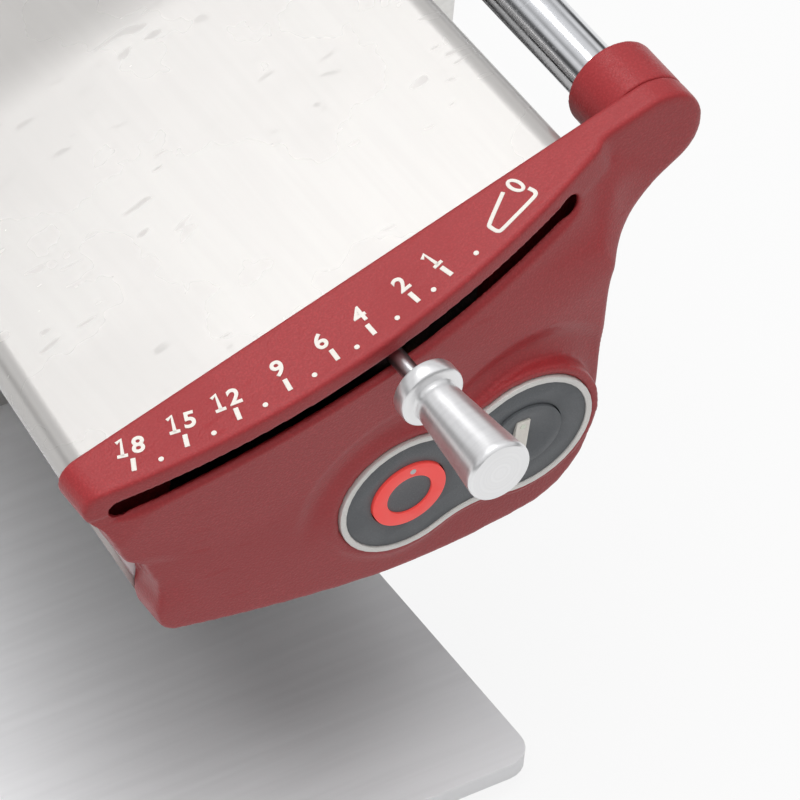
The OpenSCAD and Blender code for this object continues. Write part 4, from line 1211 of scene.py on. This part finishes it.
    def clear_slot(self, shell: Piece) -> None:
        """Keeps the slot's opening free of the crumbs that an even mesh leaves.

        Args:
            shell: the front shell's even mesh.
        """
        reach = self.slot_half_len - self.slot_half - self.crumb_end
        for vertex in shell.data.vertices:
            e, y, h = self.datum.read(vertex.co)
            inside = abs(e - self.slot_e) < reach and y < self.strip_front(e) + self.crumb_depth
            if inside and self.slot_h < h < self.slot_h + self.slot_half:
                vertex.co = self.datum.sloped(e, y, self.slot_h + self.slot_half)

    def scallop(self, shell: Piece) -> None:
        """Cuts the left side further in below the strip.

        Args:
            shell: the front shell's even mesh.
        """
        low, high = self.scallop_z
        for vertex in shell.data.vertices:
            x, _, z = (vertex.co - self.datum.zero) / MM
            if x < self.scallop_right and low < z < high:
                deep = self.scallop_in * (1.0 - step(z, *self.scallop_top)) * step(z, *self.scallop_foot)
                inward = step(x + self.scallop_side + self.scallop_lean * z, *self.scallop_fade)
                vertex.co.x += deep * (1.0 - inward) * MM

    def hollow(self, shell: Piece) -> None:
        """Presses a soft hollow into the face above the island.

        Args:
            shell: the front shell's even mesh.
        """
        outward = self.island.place().to_3x3() @ Vector((0.0, 0.0, 1.0))
        for vertex in shell.data.vertices:
            local = self.to_face @ vertex.co / MM
            if local.z < self.scoop_back or local.y < self.scoop_low:
                continue
            off = (self.island.outside(local.x, local.y) - self.scoop_at) / self.scoop_half
            if abs(off) < 1.0:
                deep = self.scoop * math.cos(off * math.pi / 2) ** 2 * step(local.y, *self.scoop_rise)
                vertex.co -= outward * deep * MM

    def build(self, finish: Finish) -> None:
        """Moulds the front shell, the tube's socket behind it and the rear cap.

        Args:
            finish: the finish of all three.
        """
        slope = self.datum.slope
        shell = remeshed("front_cap", "front_shell", self.voxel, self.passes, slope)
        soften_where(shell, self.ear_share, self.ear_passes)
        soften_where(shell, self.face_share, self.face_passes)
        self.draw_back(shell)
        self.clear_slot(shell)
        self.scallop(shell)
        soften_where(shell, self.edge_share, self.edge_passes)
        self.hollow(shell)
        soften_where(shell, lambda point: self.last_share, self.last_passes)
        finish_piece(thinned(shell, self.faces), finish, "root", "front_cap")
        plain = (("front_carrier", "tube_socket", self.voxel, self.socket_passes),
                 ("rear_cap", "rear_shell", self.voxel * self.rear_coarser, self.rear_passes))
        for node, name, voxel, passes in plain:
            piece = thinned(remeshed(node, name, voxel, passes, slope), self.faces // 2)
            finish_piece(piece, finish, "root", node)


@dataclass
class Scale:
    """The thickness scale on the strip: strokes, dots and numbers, as thin raised print."""

    datum: Datum
    height: float = 69.3
    proud: float = 0.12
    stroke: float = 1.5
    length: float = 5.9
    pitch: float = 4.9
    dot: float = 0.8
    size: float = 7.8
    heavier: float = 0.2
    lift: float = 0.08
    pressing: float = 2.5
    corner_share: float = 0.2
    one_share: float = 0.8
    turns: tuple[float, ...] = (-26.2, -21.4, -15.2, -9.0, -3.4, -0.2, 6.0, 11.6)
    numbers: tuple[str, ...] = ("18", "15", "12", "9", "6", "4", "2", "1")
    strokes: tuple[Point, ...] = ((-69.52, 10.0), (-53.73, 6.83), (-37.58, 4.67), (-21.36, 3.44),
                                  (-5.56, 3.13), (7.12, 3.44), (22.58, 4.44), (34.61, 5.86))
    dots: tuple[Point, ...] = ((-62.52, 6.28), (-46.3, 3.64), (-29.94, 1.9), (-13.72, 1.08), (0.7, 1.0),
                               (14.94, 1.68), (28.19, 2.9), (44.45, 5.34))
    words: tuple[Point, ...] = ((-67.02, 16.11), (-51.37, 13.26), (-37.48, 11.14), (-20.49, 10.12),
                                (-6.16, 9.83), (7.11, 10.08), (22.13, 10.9), (33.31, 12.23))
    one: tuple[Point, ...] = ((-0.17, 0.26), (0.02, 0.38), (0.02, -0.36))
    foot: tuple[Point, ...] = ((-0.18, -0.36), (0.22, -0.36))
    zero_at: Point = (66.19, 17.6)
    zero_turn: float = 18.0
    zero_half: Point = (1.36, 2.68)
    zero_stroke: float = 1.15
    zero_steps: int = 40
    line_stroke: float = 1.3
    zero_line: tuple[Point, ...] = ((62.18, 18.03), (52.61, 11.2), (52.5, 10.3), (53.1, 7.9), (53.8, 7.15),
                                    (54.9, 7.27), (67.9, 10.5), (68.9, 11.1), (69.2, 12.1), (68.47, 14.23))

    def ribbon(self, name: str, line: Sequence[Point], width: float, closed: bool = False) -> Piece:
        """Makes a round stroke along a line.

        Args:
            name: the stroke's name.
            line: its points, in millimetres.
            width: its width.
            closed: whether its end joins its start.

        Returns:
            The stroke, as a mesh.
        """
        curve = bpy.data.curves.new(name, "CURVE")
        curve.dimensions = "2D"
        spline = curve.splines.new("POLY")
        spline.points.add(len(line) - 1)
        for point, (e, y) in zip(spline.points, line):
            point.co = (e * MM, y * MM, 0.0, 1.0)
        spline.use_cyclic_u = closed
        curve.dimensions = "3D"
        curve.bevel_depth = width / 2 * MM
        curve.bevel_resolution = 3
        curve.use_fill_caps = True
        only(added(name, curve))
        bpy.ops.object.convert(target="MESH")
        return bpy.context.object

    def eased(self, line: Sequence[Point], rounds: int = 2) -> list[Point]:
        """Rounds a line's corners off by cutting them.

        Args:
            line: the line.
            rounds: how often each corner is cut.

        Returns:
            The points of the rounded line.
        """
        points = [Vector(p) for p in line]
        for _ in range(rounds):
            cut = [points[0]]
            for a, b in zip(points, points[1:]):
                cut += [a.lerp(b, self.corner_share), a.lerp(b, 1.0 - self.corner_share)]
            points = [*cut, points[-1]]
        return [tuple(p) for p in points]

    def flat(self, obj: Piece) -> Piece:
        """Presses a round stroke flat to the print's thickness.

        Args:
            obj: the stroke.

        Returns:
            The stroke.
        """
        top = max(v.co.z for v in obj.data.vertices)
        for vertex in obj.data.vertices:
            vertex.co.z = max(-1.0, min(1.0, vertex.co.z / top * self.pressing)) * self.proud * MM
        return obj

    def disc(self, name: str, at: Point, radius: float) -> Piece:
        """Makes a flat round dot.

        Args:
            name: the dot's name.
            at: its place on the slope, in millimetres.
            radius: its radius.

        Returns:
            The dot.
        """
        select_none()
        bpy.ops.mesh.primitive_cylinder_add(vertices=20, radius=radius * MM, depth=2 * self.proud * MM,
                                            location=(at[0] * MM, at[1] * MM, 0.0))
        bpy.context.object.name = name
        settle(bpy.context.object)
        return bpy.context.object

    def placed(self, obj: Piece, at: Point, turn: float, shift: float = 0.0) -> Piece:
        """Puts a mark on the slope.

        Args:
            obj: the mark.
            at: its place, in millimetres.
            turn: how far it is turned, in degrees.
            shift: how far it is moved along its own line.

        Returns:
            The mark.
        """
        there = Matrix.Translation((at[0] * MM, at[1] * MM, 0.0))
        turned = there @ Matrix.Rotation(math.radians(turn), 4, "Z")
        obj.matrix_world = turned @ Matrix.Translation((shift * MM, 0.0, 0.0))
        settle(obj)
        return obj

    def digit(self, text: str) -> list[Piece]:
        """Makes one digit.

        Args:
            text: the digit.

        Returns:
            Its parts, as thin meshes round the zero.
        """
        if text == "1":
            lines = [[(x * self.size, y * self.size) for x, y in line] for line in (self.one, self.foot)]
            width = self.stroke * self.one_share
            return [self.flat(self.ribbon(f"one_{k}", line, width)) for k, line in enumerate(lines)]
        select_none()
        bpy.ops.object.text_add()
        obj = bpy.context.object
        obj.data.body = text
        obj.data.align_x, obj.data.align_y = "CENTER", "CENTER"
        obj.data.size = self.size * MM
        obj.data.offset = self.heavier * MM
        obj.data.extrude = self.proud * MM
        obj.data.resolution_u = 6
        bpy.ops.object.convert(target="MESH")
        obj = bpy.context.object
        middle = sum((Vector(c) for c in obj.bound_box), Vector()) / 8
        obj.data.transform(Matrix.Translation(-middle))
        return [obj]

    def number(self, text: str, at: Point, turn: float) -> list[Piece]:
        """Makes one number on the slope.

        Args:
            text: its digits.
            at: its place, in millimetres.
            turn: how far it is turned, in degrees.

        Returns:
            The parts of its digits.
        """
        first = -self.pitch * (len(text) - 1) / 2
        return [self.placed(mark, at, turn, first + self.pitch * k)
                for k, digit in enumerate(text) for mark in self.digit(digit)]

    def build(self, finish: Finish) -> None:
        """Makes all the marks and joins them into one print.

        Args:
            finish: the piece's finish.
        """
        marks = []
        rows = zip(self.turns, self.strokes, self.dots, self.words, self.numbers)
        for index, (turn, stroke, dot, word, text) in enumerate(rows):
            up = Vector((-math.sin(math.radians(turn)), math.cos(math.radians(turn))))
            run = up * (self.length - self.stroke) / 2
            line = [(stroke[0] - run.x, stroke[1] - run.y), (stroke[0] + run.x, stroke[1] + run.y)]
            marks.append(self.flat(self.ribbon(f"stroke_{index}", line, self.stroke)))
            marks.append(self.disc(f"dot_{index}", dot, self.dot))
            marks += self.number(text, word, turn)
        marks.append(self.flat(self.ribbon("zero_line", self.eased(self.zero_line), self.line_stroke)))
        ring = [(self.zero_half[0] * math.cos(t), self.zero_half[1] * math.sin(t))
                for t in (math.tau * k / self.zero_steps for k in range(self.zero_steps))]
        zero = self.flat(self.ribbon("zero_ring", ring, self.zero_stroke, closed=True))
        marks.append(self.placed(zero, self.zero_at, self.zero_turn))
        select_none()
        for mark in marks:
            mark.select_set(True)
        bpy.context.view_layer.objects.active = marks[0]
        bpy.ops.object.join()
        print_piece = bpy.context.object
        print_piece.name = print_piece.data.name = "scale_print"
        print_piece.matrix_world = self.datum.on_slope(0.0, 0.0, self.height + self.lift)
        settle(print_piece)
        recalculate(print_piece)
        bpy.ops.object.shade_flat()
        finish_piece(print_piece, finish, "root")


@dataclass
class Knob:
    """The turned knob of the lever: a collar, a groove and a grip that widens to its end."""

    diameter: float = 20.4
    length: float = 40.0
    bore: float = 5.5
    steps: int = 128

    def profile(self) -> list[Point]:
        """Draws the knob's section.

        Returns:
            Radius and distance from the rear face of each point, in millimetres.
        """
        r, bore, n = self.diameter / 2, self.bore / 2, self.length
        collar = [(bore + 0.05, 11.0), (bore + 0.05, 0.25), (bore + 0.3, 0.0), (r - 1.0, 0.0),
                  (r - 0.55, 0.12), (r - 0.2, 0.42), (r, 0.95), (r, 4.6), (r - 0.2, 5.15), (r - 0.6, 5.5),
                  (r - 1.5, 5.8)]
        groove = [(7.3, 6.2), (6.9, 6.6), (6.73, 7.1), (6.78, 7.8), (7.0, 8.4), (7.15, 9.2)]
        grip = [(7.4, 12.5), (8.1, 20.0), (8.95, 29.0), (r - 0.35, n - 2.8), (r - 0.16, n - 1.5)]
        end = [(r - 0.2, n - 1.0), (r - 0.45, n - 0.45), (r - 0.9, n - 0.1), (r - 1.5, n)]
        return [*collar, *groove, *grip, *end, (0.0, n)]

    def build(self, finish: Finish) -> None:
        """Turns the knob and dresses it.

        Args:
            finish: the piece's finish.
        """
        low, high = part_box("lever_knob")
        middle = (low + high) / 2
        start = Vector((middle.x, high.y, middle.z))
        points = [(radius * MM, along * MM) for radius, along in self.profile()]
        obj = turned_piece("knob_grip", points, start, Vector((0.0, -1.0, 0.0)), self.steps)
        smooth(obj, 28.0)
        finish_piece(obj, finish, "lever", "lever_knob")


@dataclass
class RailTube:
    """The chromed tube beside the cover, with broken ends."""

    diameter: float = 17.5
    wall: float = 1.5
    edge: float = 0.4
    bore_edge: float = 0.2
    seated: float = 5.0
    steps: int = 128

    def profile(self, n: float) -> list[Point]:
        """Draws the tube's section.

        Args:
            n: the tube's length, in millimetres.

        Returns:
            Radius and distance from the front end of each point, in millimetres.
        """
        r, q = self.diameter / 2, self.diameter / 2 - self.wall
        a, b, s = self.edge, self.bore_edge, self.seated
        outside = [(q + b, 0.0), (r - a, 0.0), (r, a), (r, s), (r, n - s), (r, n - a), (r - a, n), (q + b, n)]
        return [(q, b), *outside, (q, n - b), (q, n - s), (q, s), (q, b)]

    def build(self, finish: Finish) -> None:
        """Turns the tube and dresses it.

        Args:
            finish: the piece's finish.
        """
        low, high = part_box("rail_tube")
        middle = (low + high) / 2
        points = [(radius * MM, along * MM) for radius, along in self.profile((high.y - low.y) / MM)]
        start = Vector((middle.x, low.y, middle.z))
        obj = turned_piece("rail_bar", points, start, Vector((0.0, 1.0, 0.0)), self.steps)
        smooth(obj, 40.0)
        finish_piece(obj, finish, "root", "rail_tube")


@dataclass
class Softening:
    """How one CAD node's copy has its edges broken."""

    node: str
    width: float
    segments: int = 2
    limit: float = 28.0


@dataclass
class Metalwork:
    """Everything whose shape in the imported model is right, with its edges broken."""

    pieces: tuple[Softening, ...] = (
        Softening("base_plate", 1.6 * MM, 4, 40.0),
        Softening("pillar", 0.8 * MM),
        Softening("floor_pan", 0.6 * MM),
        Softening("gear_casing", 0.8 * MM, 3),
        Softening("side_frame", 0.6 * MM),
        Softening("button_bezel", 0.45 * MM, 3),
        Softening("button_plate", 0.1 * MM),
        Softening("stop_button", 0.12 * MM),
        Softening("stop_ring", 0.1 * MM),
        Softening("stop_lamp", 0.2 * MM, 3),
        Softening("start_button", 0.12 * MM),
        Softening("start_bar", 0.15 * MM),
        Softening("start_lamp", 0.2 * MM, 3),
        Softening("stop_plate", 0.8 * MM, 3),
        Softening("blade_guard", 0.5 * MM),
        Softening("slice_deflector", 0.4 * MM),
        Softening("carriage_table", 0.5 * MM, 3),
        Softening("carriage_foot", 0.8 * MM, 3),
        Softening("carriage_handle", 1.2 * MM, 4),
        Softening("carriage_rail", 0.4 * MM),
        Softening("food_pusher", 0.9 * MM, 3),
        Softening("feet", 0.6 * MM, 3),
        Softening("cord_gland", 0.5 * MM, 3),
        Softening("motor_brackets", 0.4 * MM),
        Softening("pivot_bracket", 0.4 * MM),
        Softening("lever_arm", 0.3 * MM),
        Softening("lever_hub", 0.3 * MM),
        Softening("slide_yoke", 0.3 * MM),
        Softening("blade_hub", 0.4 * MM),
    )
    own_coats: tuple[tuple[str, str], ...] = (("base_plate", "plate_steel"), ("stop_lamp", "lamp_clear"))

    def build(self, coats: dict[str, Finish]) -> None:
        """Softens each node and dresses the copy.

        Args:
            coats: the finish of each material slot.
        """
        own = dict(self.own_coats)
        for piece in self.pieces:
            obj = softened(piece.node, f"{piece.node}_worn", piece.width, piece.segments, piece.limit)
            slot = slot_of(piece.node)
            finish_piece(obj, coats[own.get(piece.node, slot)], body_of(piece.node), piece.node, slot=slot)


@dataclass(frozen=True)
class Lamp:
    """A very soft lamp: where it shines to, how strong it is and how wide it looks, in degrees."""

    name: str
    direction: tuple[float, float, float]
    strength: float
    spread: float
    mirrored: bool = False


def seen_by(tree: Tree, *rays: str) -> Socket:
    """Tells apart the rays that see a surface or the world.

    Args:
        tree: the nodes.
        *rays: outputs of the Light Path node.

    Returns:
        1 for a ray of one of these kinds, and 0 for any other.
    """
    path = tree.add("ShaderNodeLightPath").outputs
    seen = path[rays[0]]
    for ray in rays[1:]:
        seen = tree.math("MAXIMUM", seen, path[ray])
    return seen


@dataclass
class Studio:
    """Camera, lamps, world and the pale floor."""

    datum: Datum
    right: tuple[float, float, float] = (0.8401, -0.5372, 0.0754)
    up: tuple[float, float, float] = (0.3211, 0.6045, 0.7290)
    back: tuple[float, float, float] = (-0.4372, -0.5883, 0.6803)
    at: tuple[float, float, float] = (-1100.5, -1472.2, 1741.7)
    lens: float = 398.8
    sensor: float = 36.0
    clip: Point = (0.05, 50.0)
    room: tuple[Point, ...] = ((0.0, 0.6), (0.5, 0.35), (0.56, 0.07), (0.62, 0.12), (0.68, 0.75),
                               (0.74, 0.95), (0.8, 0.4), (0.86, 0.9), (1.0, 1.0))
    room_light: float = 0.38
    lamp_height: float = 1.5
    lamps: tuple[Lamp, ...] = (Lamp("key", (0.25, 0.08, -1.0), 1.9, 45.0),
                               Lamp("rear", (0.07, -0.46, -0.88), 0.5, 24.0, mirrored=True),
                               Lamp("fill", (-0.5, 0.9, -0.55), 0.06, 60.0))
    floor_size: float = 16.0
    floor_greys: Point = (0.63, 0.67)
    floor_clouds: float = 1.3
    floor_white: float = 0.90

    def camera(self) -> None:
        """Adds the camera at the photograph's viewpoint."""
        data = bpy.data.cameras.new("camera")
        data.lens, data.sensor_width = self.lens, self.sensor
        data.clip_start, data.clip_end = self.clip
        camera = added("camera", data)
        turn = Matrix((self.right, self.up, self.back)).transposed().to_4x4()
        camera.matrix_world = Matrix.Translation(self.datum.level(*self.at)) @ turn
        bpy.context.scene.camera = camera

    def world(self) -> None:
        """Lights the scene with a soft even room, in which metal mirrors bands of light and dark."""
        world = bpy.data.worlds.new("studio")
        bpy.context.scene.world = world
        tree = Tree.bare(world)
        place = tree.add("ShaderNodeTexCoord").outputs["Generated"]
        height = tree.add("ShaderNodeSeparateXYZ", Vector=place).outputs["Z"]
        bands = tree.bands(tree.math("MULTIPLY", tree.math("ADD", height, 1.0), 0.5), self.room)
        lights = ((WHITE, self.room_light), (bands, 1.0), (WHITE, 1.0))
        soft, mirrored, white = (tree.add("ShaderNodeBackground", Color=colour, Strength=strength).outputs[0]
                                 for colour, strength in lights)
        room = tree.mixed(seen_by(tree, "Is Glossy Ray", "Is Transmission Ray"), soft, mirrored)
        tree.add("ShaderNodeOutputWorld", Surface=tree.mixed(seen_by(tree, "Is Camera Ray"), room, white))

    def hang(self, lamp: Lamp) -> None:
        """Adds a lamp to the scene.

        Args:
            lamp: the lamp.
        """
        data = bpy.data.lights.new(lamp.name, "SUN")
        data.energy, data.angle = lamp.strength, math.radians(lamp.spread)
        turn = Vector(lamp.direction).to_track_quat("-Z", "Y").to_matrix().to_4x4()
        obj = added(lamp.name, data)
        obj.matrix_world = Matrix.Translation((0.0, 0.0, self.lamp_height)) @ turn
        obj.visible_glossy = lamp.mirrored

    def floor(self) -> None:
        """Adds the pale floor, which keeps a faint shadow of the machine."""
        select_none()
        bpy.ops.mesh.primitive_plane_add(size=self.floor_size)
        floor = bpy.context.object
        floor.name = "floor"
        material = bpy.data.materials.new("pale_floor")
        tree = Tree.bare(material)
        cloud = tree.noise(tree.add("ShaderNodeTexCoord").outputs["Object"], self.floor_clouds)
        dark, light = ((grey, grey, grey) for grey in self.floor_greys)
        matt = tree.add("ShaderNodeBsdfDiffuse", Color=tree.blend(cloud, dark, light)).outputs[0]
        white = tree.add("ShaderNodeEmission", Color=WHITE, Strength=1.0).outputs[0]
        seen = seen_by(tree, "Is Camera Ray", "Is Glossy Ray", "Is Transmission Ray")
        mixed = tree.mixed(tree.math("MULTIPLY", seen, self.floor_white), matt, white)
        tree.add("ShaderNodeOutputMaterial", Surface=mixed)
        floor.data.materials.append(material)

    def build(self) -> None:
        """Sets up the whole studio."""
        bpy.context.scene.view_settings.view_transform = "Standard"
        self.camera()
        self.world()
        self.floor()
        for lamp in self.lamps:
            self.hang(lamp)


def dress_nodes(coats: dict[str, Finish]) -> None:
    """Gives every CAD node the finish of its slot."""
    for name, obj in frame["nodes"].items():
        obj.data.materials.clear()
        obj.data.materials.append(coats[slot_of(name)].material())


def main() -> None:
    """Builds the studio and the machine, piece by piece."""
    logging.basicConfig(level=logging.INFO, format="%(name)s: %(message)s")
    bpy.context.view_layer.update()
    datum = Datum.from_frame()
    log.info("slope %.2f degrees, zero at %s", math.degrees(datum.slope), [round(x, 5) for x in datum.zero])
    Studio(datum).build()
    coats = finishes()
    dress_nodes(coats)
    cover = Sheet(datum)
    cover.build(coats["cover_steel"])
    cover.flange(coats["plate_steel"])
    Housing(datum).build(coats["red_cap"])
    Scale(datum).build(coats["mark_white"])
    Knob().build(coats["knob_aluminium"])
    RailTube().build(coats["chrome_tube"])
    Metalwork().build(coats)


if __name__ == "__main__":
    main()
